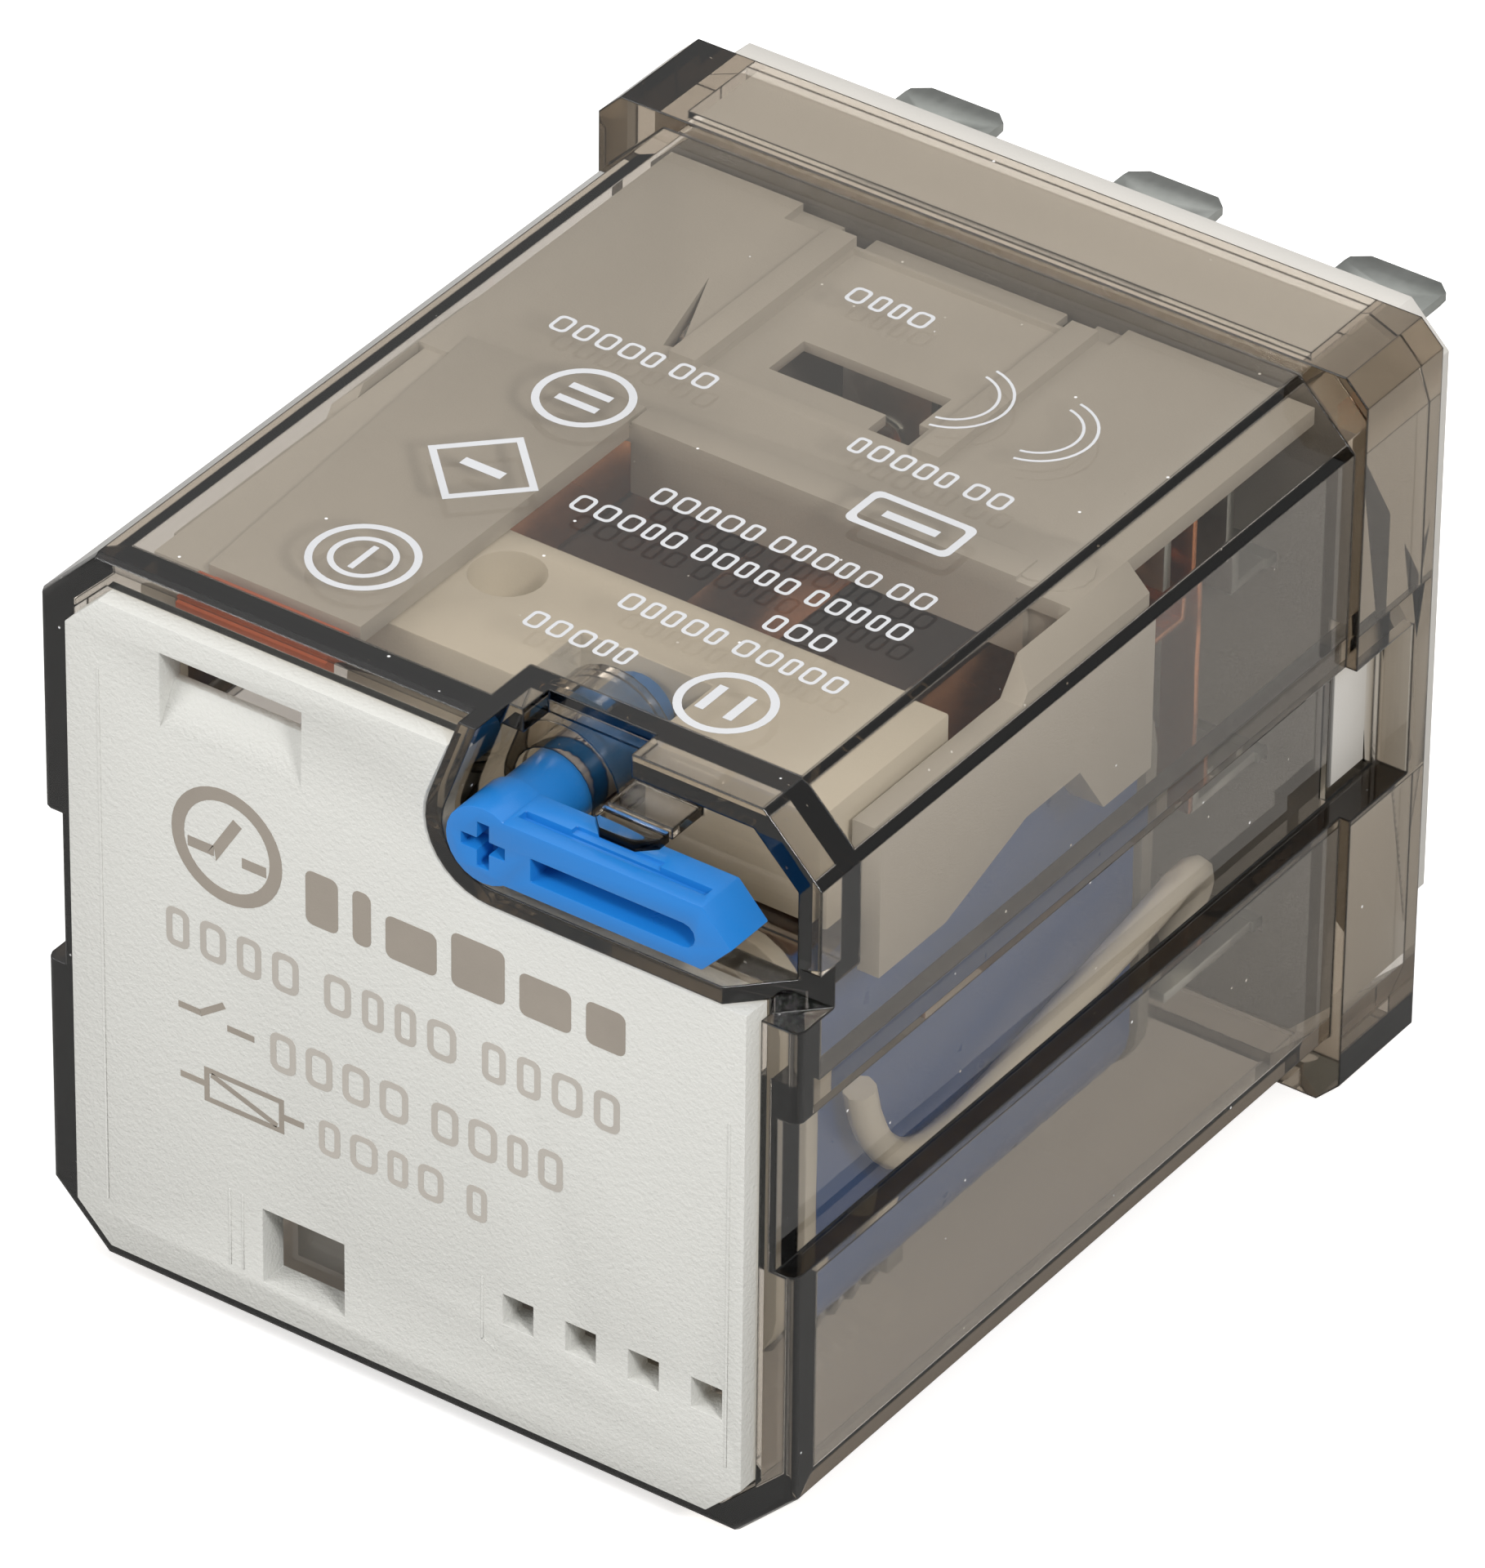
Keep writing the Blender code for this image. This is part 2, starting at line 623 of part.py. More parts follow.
def make_cover():
    body_outline = chamfered(BODY_W / 2, BODY_H / 2, BODY_CHAMFER)
    cover = extruded("cover", body_outline, "Y", (FRONT_Y, FLANGE_Y[0] + MM))
    edge = cover.modifiers.new("Front edge", "BEVEL")
    edge.width = FACE_EDGE
    edge.segments = 2
    edge.limit_method = "ANGLE"
    edge.angle_limit = math.radians(80)
    flange_outline = chamfered(FLANGE_W / 2, FLANGE_H / 2, FLANGE_CHAMFER)
    flange = extruded("flange", flange_outline, "Y", FLANGE_Y)
    join(cover, flange)
    cut(cover, cover_cavity(), flange_pocket(1), flange_pocket(-1))
    recess = chamfered(LABEL_HALF[0] + 0.15 * MM, LABEL_HALF[1] + 0.15 * MM, LABEL_CHAMFER)
    cut(cover, extruded("label_recess", recess, "Y", (FRONT_Y - MM, RECESS_FLOOR_Y)))
    join(cover, pocket_block())
    tube = rod("lever_tube", (PIVOT_X, PIVOT_Z), TUBE_R[1], (POCKET_FLOOR_Y + 0.2 * MM, TUBE_END_Y))
    join(cover, tube)
    cut(cover, pocket_front_cut(), pocket_deep_cut(), rim_end_cut())
    join(cover, block("pip_root", PIP_X, PIP_ROOT_Y, PIP_Z))
    slot_z = (BODY_H / 2 - WALL - MM, BODY_H / 2 + MM)
    cut(cover, block("lock_slot", LOCK_SLOT_X, (POCKET_EDGE_Y - MM, POCKET_FLOOR_Y - CLEAR), slot_z))
    bore_y = (POCKET_FLOOR_Y - MM, TUBE_END_Y + MM)
    cut(cover, rod("lever_bore", (PIVOT_X, PIVOT_Z), TUBE_R[0], bore_y))
    for side in (-1, 1):
        cut(cover, *groove_cutters(side))
    return finish(cover, SMOKED)


# ---------------------------------------------------------------- label plate


def make_label_plate():
    outline = chamfered(LABEL_HALF[0], LABEL_HALF[1], LABEL_CHAMFER)
    plate = extruded("label_plate", outline, "Y", LABEL_Y)
    through = (LABEL_Y[0] - MM, LABEL_Y[1] + MM)
    pocket = pocket_outline(POCKET_R + POCKET_RIM + 0.12 * MM)
    pocket[0] = (pocket[0][0] + 0.5 * MM, BODY_H / 2 + MM)
    pocket += [(BODY_W / 2 + MM, pocket[-1][1]), (BODY_W / 2 + MM, BODY_H / 2 + MM)]
    cut(plate, extruded("label_pocket", pocket, "Y", through))
    cut(plate, block("flag_opening", FLAG_WINDOW_X, through, (FLAG_LEDGE_Z, FLAG_WINDOW_Z[1])))
    slope = [
        (LABEL_Y[0] - 0.05 * MM, FLAG_WINDOW_Z[0]),
        (LABEL_Y[1] - 0.4 * MM, FLAG_LEDGE_Z + 0.02 * MM),
        (LABEL_Y[1] - 0.4 * MM, FLAG_WINDOW_Z[1]),
        (LABEL_Y[0] - 0.05 * MM, FLAG_WINDOW_Z[1]),
    ]
    cut(plate, extruded("flag_ledge", slope, "X", FLAG_WINDOW_X))
    cut(plate, block("spy_opening", SPY_WINDOW_X, through, SPY_WINDOW_Z))
    for number in range(4):
        middle = TEST_HOLE_X + number * TEST_HOLE_PITCH
        half = TEST_HOLE_SIDE / 2
        hole = block(
            f"label_hole_{number}",
            (middle - half, middle + half),
            through,
            (TEST_HOLE_Z - half, TEST_HOLE_Z + half),
        )
        cut(plate, hole)
    return finish(plate, LABEL_GREY)


# ---------------------------------------------------------------- test lever and pip


def make_test_lever():
    lever = rod("test_lever", (PIVOT_X, PIVOT_Z), HEAD_R, LEVER_Y)
    top = PIVOT_Z + LEVER_HALF
    bottom = PIVOT_Z - LEVER_HALF
    arm_outline = [
        (PIVOT_X, bottom),
        (LEVER_END_X, bottom),
        (LEVER_TIP_X, PIVOT_Z),
        (LEVER_END_X, top),
        (PIVOT_X, top),
    ]
    arm = extruded("lever_arm", arm_outline, "Y", LEVER_Y)
    shaft = rod("lever_shaft", (PIVOT_X, PIVOT_Z), SHAFT_R, (LEVER_Y[1] - 0.4 * MM, SHAFT_TIP_Y))
    join(lever, arm, shaft)
    slot_middle_z = PIVOT_Z - 0.2 * MM
    slot_r = 0.55 * MM
    slot_outline = arc((LEVER_END_X - 0.9 * MM, slot_middle_z), slot_r, -90, 90, 6)
    slot_outline += [
        (PIVOT_X + 2.3 * MM, slot_middle_z + slot_r),
        (PIVOT_X + 2.3 * MM, slot_middle_z - slot_r),
    ]
    slot = extruded("lever_slot", slot_outline, "Y", (LEVER_Y[0] - MM, LEVER_Y[0] + 1.6 * MM))
    groove = block(
        "lever_groove",
        (PIVOT_X + 1.2 * MM, LEVER_END_X - 0.4 * MM),
        (LEVER_Y[0] + 0.75 * MM, LEVER_Y[0] + 1.25 * MM),
        (top - 0.35 * MM, top + MM),
    )
    shelf = block(
        "lever_shelf",
        (PIVOT_X + 3.4 * MM, PIVOT_X + 7.6 * MM),
        (LEVER_Y[0] + 1.2 * MM, LEVER_Y[0] + 1.6 * MM),
        (top - 0.2 * MM, top + MM),
    )
    cut(lever, slot, groove, shelf)
    recess_y = (LEVER_Y[0] - MM, LEVER_Y[0] + 1.1 * MM)
    long_half = 1.05 * MM
    short_half = 0.28 * MM
    level = (PIVOT_Z - short_half, PIVOT_Z + short_half)
    upright = (PIVOT_Z - long_half, PIVOT_Z + long_half)
    cross = block("cross_level", (PIVOT_X - long_half, PIVOT_X + long_half), recess_y, level)
    post = block("cross_upright", (PIVOT_X - short_half, PIVOT_X + short_half), recess_y, upright)
    cut(lever, cross, post)
    return finish(lever, LEVER_BLUE)


def make_pip():
    """The thin clear tongue over the lever's arm; it is broken off before the lever is turned."""
    left, right = PIP_X
    front, rear = PIP_Y
    outline = [
        (left + PIP_CHAMFER, front),
        (right - PIP_CHAMFER, front),
        (right, front + PIP_CHAMFER),
        (right, rear),
        (left, rear),
        (left, front + PIP_CHAMFER),
    ]
    return finish(extruded("break_off_pip", outline, "Z", PIP_Z), SMOKED)


# ---------------------------------------------------------------- base and terminals


def base_outline():
    half_w, half_h = BASE_HALF
    return [
        (half_w - BASE_BOTTOM_CHAMFER, -half_h),
        (half_w, -half_h + BASE_BOTTOM_CHAMFER),
        (half_w, half_h - BASE_TOP_CHAMFER),
        (half_w - BASE_TOP_CHAMFER, half_h),
        (-half_w + BASE_TOP_CHAMFER, half_h),
        (-half_w, half_h - BASE_TOP_CHAMFER),
        (-half_w, -half_h + BASE_BOTTOM_CHAMFER),
        (-half_w + BASE_BOTTOM_CHAMFER, -half_h),
    ]


def terminal_places():
    rows = [(x, z) for z in (NC_ROW_Z, NO_ROW_Z, COMMON_ROW_Z) for x in POLES]
    return rows + [(POLES[0], COIL_ROW_Z), (POLES[2], COIL_ROW_Z)]


def make_base():
    base = extruded("base", base_outline(), "Y", (BASE_PLATE_Y, 0.0))
    plug = extruded("base_plug", inner_outline(CLEAR), "Y", (BASE_PLUG_Y, BASE_PLATE_Y + 0.5 * MM))
    join(base, plug)
    for side in (-1, 1):
        near = side * (BODY_H / 2 - WALL - MM)
        far = side * (FLANGE_H / 2 - WALL - CLEAR)
        x = (-SHOULDER_HALF_W, SHOULDER_HALF_W)
        join(base, block(f"base_shoulder_{side}", x, SHOULDER_Y, sorted((near, far))))
    inner = BODY_W / 2 - GROOVE_DEPTH - GROOVE_FLOOR - CLEAR
    for side in (-1, 1):
        relief = block(
            f"base_relief_{side}",
            sorted((side * inner, side * (BODY_W / 2 + 2 * MM))),
            (BASE_PLUG_Y - MM, BASE_PLATE_Y - 1e-5),
            (GROOVE_Z[0] - GROOVE_FLOOR - CLEAR, GROOVE_Z[1] + GROOVE_FLOOR + CLEAR),
        )
        cut(base, relief)
        latch = block(
            f"latch_{side}",
            sorted((side * (inner - MM), side * (inner + 1.05 * MM))),
            (max(LATCH_WINDOW_Y[0] + CLEAR, BASE_PLUG_Y), LATCH_WINDOW_Y[1] - CLEAR),
            (LATCH_WINDOW_Z[0] + CLEAR, LATCH_WINDOW_Z[1] - CLEAR),
        )
        join(base, latch)
    for number, (x, z) in enumerate(terminal_places()):
        half_w = BLADE_W / 2 + SLOT_PLAY
        half_t = BLADE_T / 2 + SLOT_PLAY
        slot = block(
            f"terminal_slot_{number}",
            (x - half_w, x + half_w),
            (BASE_PLUG_Y - MM, MM),
            (z - half_t, z + half_t),
        )
        cut(base, slot)
    return finish(base, BASE_GREY)


def tip_bevel(name, level, side):
    """A wedge off one flat side of a tab's tip; side is 1 for the top and -1 for the bottom."""
    length, depth = BLADE_BEVEL
    face = level[1] if side > 0 else level[0]
    beyond = 0.2 * MM
    outline = [
        (BLADE_TIP_Y - length, face + side * beyond),
        (BLADE_TIP_Y - length, face),
        (BLADE_TIP_Y, face - side * depth),
        (BLADE_TIP_Y + beyond, face - side * depth),
        (BLADE_TIP_Y + beyond, face + side * beyond),
    ]
    return extruded(f"{name}_bevel_{side}", outline, "X", (-BLADE_W, BLADE_W))


def run_outline(row_z, inner_y, plate_y, plate_z, run_z):
    """Side view, Y by Z, of a tab's strip inside the relay, thinner than the tab by STRIP_STEP."""
    half = BLADE_T / 2 - STRIP_STEP
    rear = BASE_PLUG_Y + 0.6 * MM
    lower = [(rear, row_z - half)]
    upper = [(rear, row_z + half)]
    if run_z != row_z:
        lower += [(NC_STEP_Y[0], row_z - half), (NC_STEP_Y[0], run_z - half)]
        upper += [(NC_STEP_Y[1], row_z + half), (NC_STEP_Y[1], run_z + half)]
    if not plate_y:
        return lower + [(inner_y, run_z - half), (inner_y, run_z + half)] + upper[::-1]
    if plate_z > run_z:
        lower += [(plate_y[0], run_z - half), (plate_y[0], plate_z)]
        upper += [(plate_y[1], run_z + half), (plate_y[1], plate_z)]
    else:
        lower += [(plate_y[1], run_z - half), (plate_y[1], plate_z)]
        upper += [(plate_y[0], run_z + half), (plate_y[0], plate_z)]
    return lower + upper[::-1]


def terminal(name, row_z, inner_y, plate_y=None, plate_z=None, run_z=None):
    """One flat tab with a run to the inside and, where given, an end plate turned up or down."""
    half = BLADE_W / 2
    tip = half - BLADE_TIP_CHAMFER
    blade_start = BASE_PLUG_Y - 0.4 * MM
    outline = [
        (-half, blade_start),
        (half, blade_start),
        (half, BLADE_TIP_Y - BLADE_TIP_CHAMFER),
        (tip, BLADE_TIP_Y),
        (-tip, BLADE_TIP_Y),
        (-half, BLADE_TIP_Y - BLADE_TIP_CHAMFER),
    ]
    level = (row_z - BLADE_T / 2, row_z + BLADE_T / 2)
    blade = extruded(name, outline, "Z", level)
    run = run_outline(row_z, inner_y, plate_y, plate_z, run_z or row_z)
    join(blade, extruded(f"{name}_run", run, "X", (-STRIP_W / 2, STRIP_W / 2)))
    hole_z = (level[0] - MM, level[1] + MM)
    cut(blade, upright_rod(f"{name}_hole", (0.0, BLADE_HOLE_Y), BLADE_HOLE_R, hole_z, SMALL_STEPS))
    cut(blade, tip_bevel(name, level, 1), tip_bevel(name, level, -1))
    return blade


def rivet_hole(name, y):
    return rod(name, (0.0, CONTACT_Z), RIVET_HOLE_R, (y[0] - MM, y[1] + MM), SMALL_STEPS)


def rivet(name, plate_y, contact_sides):
    """A contact rivet through a plate; each contact side has a low dome and the other a flat tail."""
    head_r = RIVET_HEAD_R
    front = plate_y[0] - RIVET_PLAY
    rear = plate_y[1] + RIVET_PLAY

    def end(y, outwards, domed):
        height = RIVET_DOME if domed else 0.25 * MM
        radius = head_r if domed else 0.9 * MM
        tip = y + outwards * height
        shoulder = y + outwards * height * 0.45
        return [(0.0, tip), (radius * 0.62, tip), (radius, shoulder), (radius, y), (RIVET_SHANK_R, y)]

    start = end(front, -1, "front" in contact_sides)
    finish_end = end(rear, 1, "rear" in contact_sides)
    return turned(name, start + finish_end[::-1], (0.0, CONTACT_Z), SMALL_STEPS)


def make_fixed_contacts():
    nc = terminal(
        "nc_terminal", NC_ROW_Z, NC_PLATE_Y[0], NC_PLATE_Y, NC_PLATE_BOTTOM_Z, NC_RUN_Z
    )
    cut(nc, rivet_hole("nc_rivet_hole", NC_PLATE_Y))
    repeated(nc, "nc_terminal", POLES, TINNED)
    no = terminal("no_terminal", NO_ROW_Z, NO_PLATE_Y[0], NO_PLATE_Y, NO_PLATE_TOP_Z)
    cut(no, rivet_hole("no_rivet_hole", NO_PLATE_Y))
    repeated(no, "no_terminal", POLES, TINNED)
    common = terminal(
        "common_terminal", COMMON_ROW_Z, COMMON_PLATE_Y[0], COMMON_PLATE_Y, COMMON_PLATE_TOP_Z
    )
    repeated(common, "common_terminal", POLES, TINNED)
    coil = terminal("coil_terminal", COIL_ROW_Z, -13.0 * MM)
    repeated(coil, "coil_terminal", (POLES[0], POLES[2]), TINNED)
    repeated(rivet("nc_contact", NC_PLATE_Y, ("rear",)), "nc_contact", POLES, SILVER)
    repeated(rivet("no_contact", NO_PLATE_Y, ("front",)), "no_contact", POLES, SILVER)


def make_moving_contacts():
    """Three leaf springs with double-sided contacts, flexing together about their roots."""
    leaf = block("moving_spring", (-LEAF_W / 2, LEAF_W / 2), LEAF_Y, LEAF_Z)
    cut(leaf, rivet_hole("moving_rivet_hole", LEAF_Y))
    window = block(
        "leaf_window",
        (-0.7 * MM, 0.7 * MM),
        (LEAF_Y[0] - MM, LEAF_Y[1] + MM),
        (1.0 * MM, 6.2 * MM),
    )
    cut(leaf, window)
    springs = repeated(leaf, "moving_spring", POLES, COPPER)
    both = rivet("moving_contact", LEAF_Y, ("front", "rear"))
    contacts = repeated(both, "moving_contact", POLES, SILVER)
    marker = axis_empty("contact_swing_axis", (0.0, LEAF_AXIS[0], LEAF_AXIS[1]))
    ride(marker, springs + contacts)


# ---------------------------------------------------------------- magnet system


def make_core():
    def section(name, half, y):
        return extruded(name, oval(half, COIL_Z, 0.6 * half[1]), "Y", y)

    core = section("core", CORE_HALF, (POLE_FACE_Y[1] - 0.3 * MM, YOKE_PLATE_Y[0] - CLEAR))
    face = section("pole_face", POLE_FACE_HALF, POLE_FACE_Y)
    tail = section("core_tail", CORE_TAIL_HALF, (YOKE_PLATE_Y[0] - MM, YOKE_PLATE_Y[1] + CLEAR))
    join(core, face, tail)
    return finish(core, STEEL)


def make_bobbin():
    front, rear = BOBBIN_Y
    tube_y = (front + 0.2 * MM, rear - 0.2 * MM)
    tube = oval(BOBBIN_TUBE_HALF, COIL_Z, 3 * MM)
    bobbin = extruded("bobbin", tube, "Y", tube_y)
    shape = oval(BOBBIN_FLANGE_HALF, WRAP_Z, BOBBIN_FLANGE_CORNER)
    front_flange = extruded("front_flange", shape, "Y", (front, front + BOBBIN_FLANGE_T))
    rear_flange = extruded("rear_flange", shape, "Y", (rear - BOBBIN_FLANGE_T, rear))
    join(bobbin, front_flange, rear_flange)
    through = (front - MM, rear + MM)
    cut(bobbin, extruded("bobbin_bore", oval(BOBBIN_BORE_HALF, COIL_Z, 2.2 * MM), "Y", through))
    return finish(bobbin, BOBBIN_WHITE)


def oval_ring(name, inside, outside, y, look):
    """A sleeve along Y; inside and outside are outlines."""
    ring = extruded(name, outside, "Y", y)
    cut(ring, extruded(f"{name}_inside", inside, "Y", (y[0] - MM, y[1] + MM)))
    return finish(ring, look)


def make_coil():
    make_bobbin()
    wound = (
        BOBBIN_Y[0] + BOBBIN_FLANGE_T + CLEAR,
        BOBBIN_Y[1] - BOBBIN_FLANGE_T - CLEAR,
    )
    oval_ring(
        "coil_winding",
        oval(WINDING_HALF[0], COIL_Z, 3.3 * MM),
        oval(WINDING_HALF[1], WRAP_Z, 1.9 * MM),
        wound,
        ENAMEL,
    )
    oval_ring(
        "coil_tape",
        oval(TAPE_HALF[0], WRAP_Z, 2.2 * MM),
        oval(TAPE_HALF[1], WRAP_Z, 2.7 * MM),
        wound,
        COIL_BLUE,
    )


def make_yoke():
    outline = [
        (YOKE_FRONT_Y, YOKE_LIMB_Z[0]),
        (YOKE_PLATE_Y[1], YOKE_LIMB_Z[0]),
        (YOKE_PLATE_Y[1], YOKE_TOP_Z),
        (YOKE_PLATE_Y[0], YOKE_TOP_Z),
        (YOKE_PLATE_Y[0], YOKE_LIMB_Z[1]),
        (YOKE_FRONT_Y, YOKE_LIMB_Z[1]),
    ]
    yoke = extruded("yoke", outline, "X", (-MAGNET_HALF_W, MAGNET_HALF_W))
    ear_y = (SPRING_Y[1] + 0.5 * MM, SPRING_Y[1] + 1.7 * MM)
    ear_z = (YOKE_LIMB_Z[0] + 0.1 * MM, YOKE_LIMB_Z[1] - 0.1 * MM)
    join(yoke, block("yoke_ear", (MAGNET_HALF_W - MM, SPRING_EAR_X), ear_y, ear_z))
    through = (YOKE_PLATE_Y[0] - MM, YOKE_PLATE_Y[1] + MM)
    hole = (CORE_TAIL_HALF[0] + 0.2 * MM, CORE_TAIL_HALF[1] + 0.2 * MM)
    cut(yoke, extruded("core_hole", oval(hole, COIL_Z, 1.5 * MM), "Y", through))
    return finish(yoke, STEEL)


def make_armature():
    rear, front = ARMATURE_Y[1], ARMATURE_Y[0]
    shelf_bottom = ARMATURE_Z[1] - ARMATURE_SHELF_T
    outline = [
        (front, ARMATURE_Z[0]),
        (rear, ARMATURE_Z[0]),
        (rear, shelf_bottom),
        (ARMATURE_SHELF_Y, shelf_bottom),
        (ARMATURE_SHELF_Y, ARMATURE_Z[1]),
        (front, ARMATURE_Z[1]),
    ]
    armature = extruded("armature", outline, "X", (-MAGNET_HALF_W, MAGNET_HALF_W))
    for side in (-1, 1):
        shoulder = block(
            f"armature_shoulder_{side}",
            sorted((side * ARMATURE_SHELF_HALF_W, side * (MAGNET_HALF_W + MM))),
            (front - MM, ARMATURE_SHELF_Y + MM),
            (3.0 * MM, ARMATURE_Z[1] + MM),
        )
        cut(armature, shoulder)
    ear_z = (ARMATURE_Z[0] + 0.1 * MM, ARMATURE_Z[0] + 1.6 * MM)
    ear_y = (front + 0.1 * MM, rear - 0.1 * MM)
    join(armature, block("armature_ear", (MAGNET_HALF_W - MM, SPRING_EAR_X), ear_y, ear_z))
    return finish(armature, STEEL)


def make_carrier():
    carrier = block("contact_carrier", CARRIER_X, CARRIER_Y, CARRIER_Z)
    relief = block(
        "tube_relief",
        (PIVOT_X - TUBE_R[1] - 0.4 * MM, PIVOT_X + TUBE_R[1] + 0.4 * MM),
        (CARRIER_Y[0] - MM, SHAFT_TIP_Y + CLEAR),
        (PIVOT_Z - TUBE_R[1] - 0.35 * MM, CARRIER_Z[1] + MM),
    )
    hole_z = (CARRIER_Z[1] - 3.5 * MM, CARRIER_Z[1] + MM)
    hole = upright_rod("carrier_hole", CARRIER_HOLE, CARRIER_HOLE_R, hole_z)
    lower = block(
        "carrier_undercut",
        (ARMATURE_SHELF_HALF_W + MM, CARRIER_X[1] + MM),
        (CARRIER_Y[0] - MM, CARRIER_Y[1] - 1.5 * MM),
        (CARRIER_Z[0] - MM, 9.6 * MM),
    )
    cut(carrier, relief, hole, lower)
    return finish(carrier, IVORY)


def make_drive_springs():
    """Flat springs on the carrier's back that push the moving leaves through their overtravel."""
    outline = [
        (DRIVE_Y[0], DRIVE_Z[0]),
        (DRIVE_TIP_Y, DRIVE_Z[0]),
        (DRIVE_TIP_Y, DRIVE_TIP_TOP_Z),
        (DRIVE_TIP_Y - 0.3 * MM, DRIVE_TIP_TOP_Z),
        (DRIVE_TIP_Y - 0.3 * MM, DRIVE_Z[1]),
        (DRIVE_Y[1], DRIVE_Z[1]),
        (DRIVE_Y[1], DRIVE_TOP_Z),
        (DRIVE_Y[0], DRIVE_TOP_Z),
    ]
    drive = extruded("drive_spring", outline, "X", (-2.3 * MM, 2.3 * MM))
    return repeated(drive, "drive_spring", POLES, COPPER)


def helix(centre, radius, y, turns, points_per_turn):
    count = turns * points_per_turn
    for i in range(count + 1):
        turn = 2 * math.pi * i / points_per_turn
        along = y[0] + (y[1] - y[0]) * i / count
        yield (
            centre[0] + radius * math.cos(turn),
            along,
            centre[1] + radius * math.sin(turn),
        )


def wire(name, points, radius, look, kind="POLY"):
    curve = bpy.data.curves.new(name, "CURVE")
    curve.dimensions = "3D"
    curve.bevel_depth = radius
    curve.bevel_resolution = WIRE_BEVEL_RESOLUTION
    curve.use_fill_caps = True
    points = list(points)
    spline = curve.splines.new(kind)
    spline.points.add(len(points) - 1)
    for target, point in zip(spline.points, points):
        target.co = (*point, 1.0)
    obj = add_object(name, curve)
    return finish(obj, look)


def make_return_spring():
    points = helix(SPRING_CENTRE, SPRING_R, SPRING_Y, SPRING_TURNS, 8)
    return smooth(wire("return_spring", points, SPRING_WIRE_R, SPRING_STEEL))


def bent(start, middle, end, count):
    """Points on a smooth bend from start to end, drawn towards middle."""
    for i in range(count + 1):
        t = i / count
        yield (1 - t) ** 2 * start + 2 * t * (1 - t) * middle + t**2 * end


def make_coil_leads():
    """Sleeved wires that run back along the sides of the winding to the coil tabs."""
    for number, side in enumerate((-1, 1), start=1):
        x = side * LEAD_X
        start, dip, low, high, turn = (
            Vector((x, *at)) for at in (LEAD_START, LEAD_DIP, LEAD_LOW, LEAD_HIGH, LEAD_TURN)
        )
        end = Vector((side * 12.2 * MM, -10.6 * MM, COIL_ROW_Z + BLADE_T / 2 + MM))
        points = [*bent(start, dip, low, 9), *bent(high, turn, end, 10)]
        smooth(wire(f"coil_lead_{number}", points, LEAD_R, BOBBIN_WHITE))


# ---------------------------------------------------------------- flag and frame


def make_flag():
    outline = [
        (FLAG_Y[0], FLAG_Z[0]),
        (FLAG_AXIS[0] + 0.4 * MM, FLAG_Z[0]),
        (FLAG_AXIS[0] + 0.4 * MM, FLAG_Z[1]),
        (FLAG_Y[1], FLAG_Z[1]),
        (FLAG_Y[1], FLAG_TOP_Z),
        (FLAG_Y[0], FLAG_TOP_Z),
    ]
    flag = extruded("indicator_flag", outline, "X", FLAG_ARM_X)
    tab_y = (FLAG_Y[0] + 0.02 * MM, FLAG_Y[1] - 0.02 * MM)
    tab = block("flag_tab", FLAG_X, tab_y, (FLAG_Z[0] + 0.02 * MM, FLAG_TOP_Z - 0.02 * MM))
    pin = cross_rod("flag_pin", FLAG_AXIS, FLAG_PIN_R, FLAG_PIN_X)
    join(flag, tab, pin)
    return finish(flag, FLAG_ORANGE)


def frame_wall(side):
    """A side wall with a taller cheek at its rear."""
    outline = [
        (FRAME_WALL_Y[0], FRAME_WALL_Z[0]),
        (WALL_ARCH[0], FRAME_WALL_Z[0]),
        (WALL_ARCH[1], WALL_ARCH_Z),
        (WALL_ARCH[2], WALL_ARCH_Z),
        (WALL_ARCH[3], FRAME_WALL_Z[0] - 0.8 * MM),
        (FRAME_WALL_Y[1], FRAME_WALL_Z[0] - 0.8 * MM),
        (FRAME_WALL_Y[1], FRAME_TOP_Z[1]),
        (CHEEK_Y[0], FRAME_TOP_Z[1]),
        (CHEEK_Y[0] - 1.2 * MM, FRAME_WALL_Z[1]),
        (FRAME_WALL_Y[0], FRAME_WALL_Z[1]),
    ]
    span = sorted((side * (FRAME_WALL_X[0] - 0.6 * MM), side * FRAME_WALL_X[1]))
    wall = extruded(f"frame_wall_{side}", outline, "X", span)
    thin = sorted((side * (FRAME_WALL_X[0] - 2 * MM), side * FRAME_WALL_X[0]))
    thin_y = (FRAME_WALL_Y[0] - MM, FRAME_Y[0] - 0.01 * MM)
    cut(wall, block(f"wall_thin_{side}", thin, thin_y, (0, 18 * MM)))
    return wall


def frame_partition(side):
    """A wall between two poles; its lower front corner is cut away over the yoke."""
    x = side * PARTITION_X
    rear, top = FRAME_Y[1] - 0.01 * MM, FRAME_TOP_Z[0] + 0.3 * MM
    step_y, step_z = YOKE_PLATE_Y[1] + CLEAR, YOKE_TOP_Z + CLEAR
    outline = [
        (PARTITION_FRONT_Y, top),
        (PARTITION_FRONT_Y, step_z),
        (step_y, step_z),
        (step_y, PARTITION_BOTTOM_Z),
        (rear, PARTITION_BOTTOM_Z),
        (rear, top),
    ]
    return extruded(f"partition_{side}", outline, "X", (x - PARTITION_T / 2, x + PARTITION_T / 2))


def frame_slab():
    """The flat arm that reaches forward over the flag; its left edge runs out towards the rear."""
    rear = FRAME_Y[0] + 1.2 * MM
    outline = [
        (SLAB_LEFT_X[0], RAIL_FRONT_Y - 0.1 * MM),
        (SLAB_RIGHT_X, RAIL_FRONT_Y - 0.1 * MM),
        (SLAB_RIGHT_X, rear),
        (SLAB_LEFT_X[1], rear),
    ]
    return extruded("frame_slab", outline, "Z", SLAB_Z)


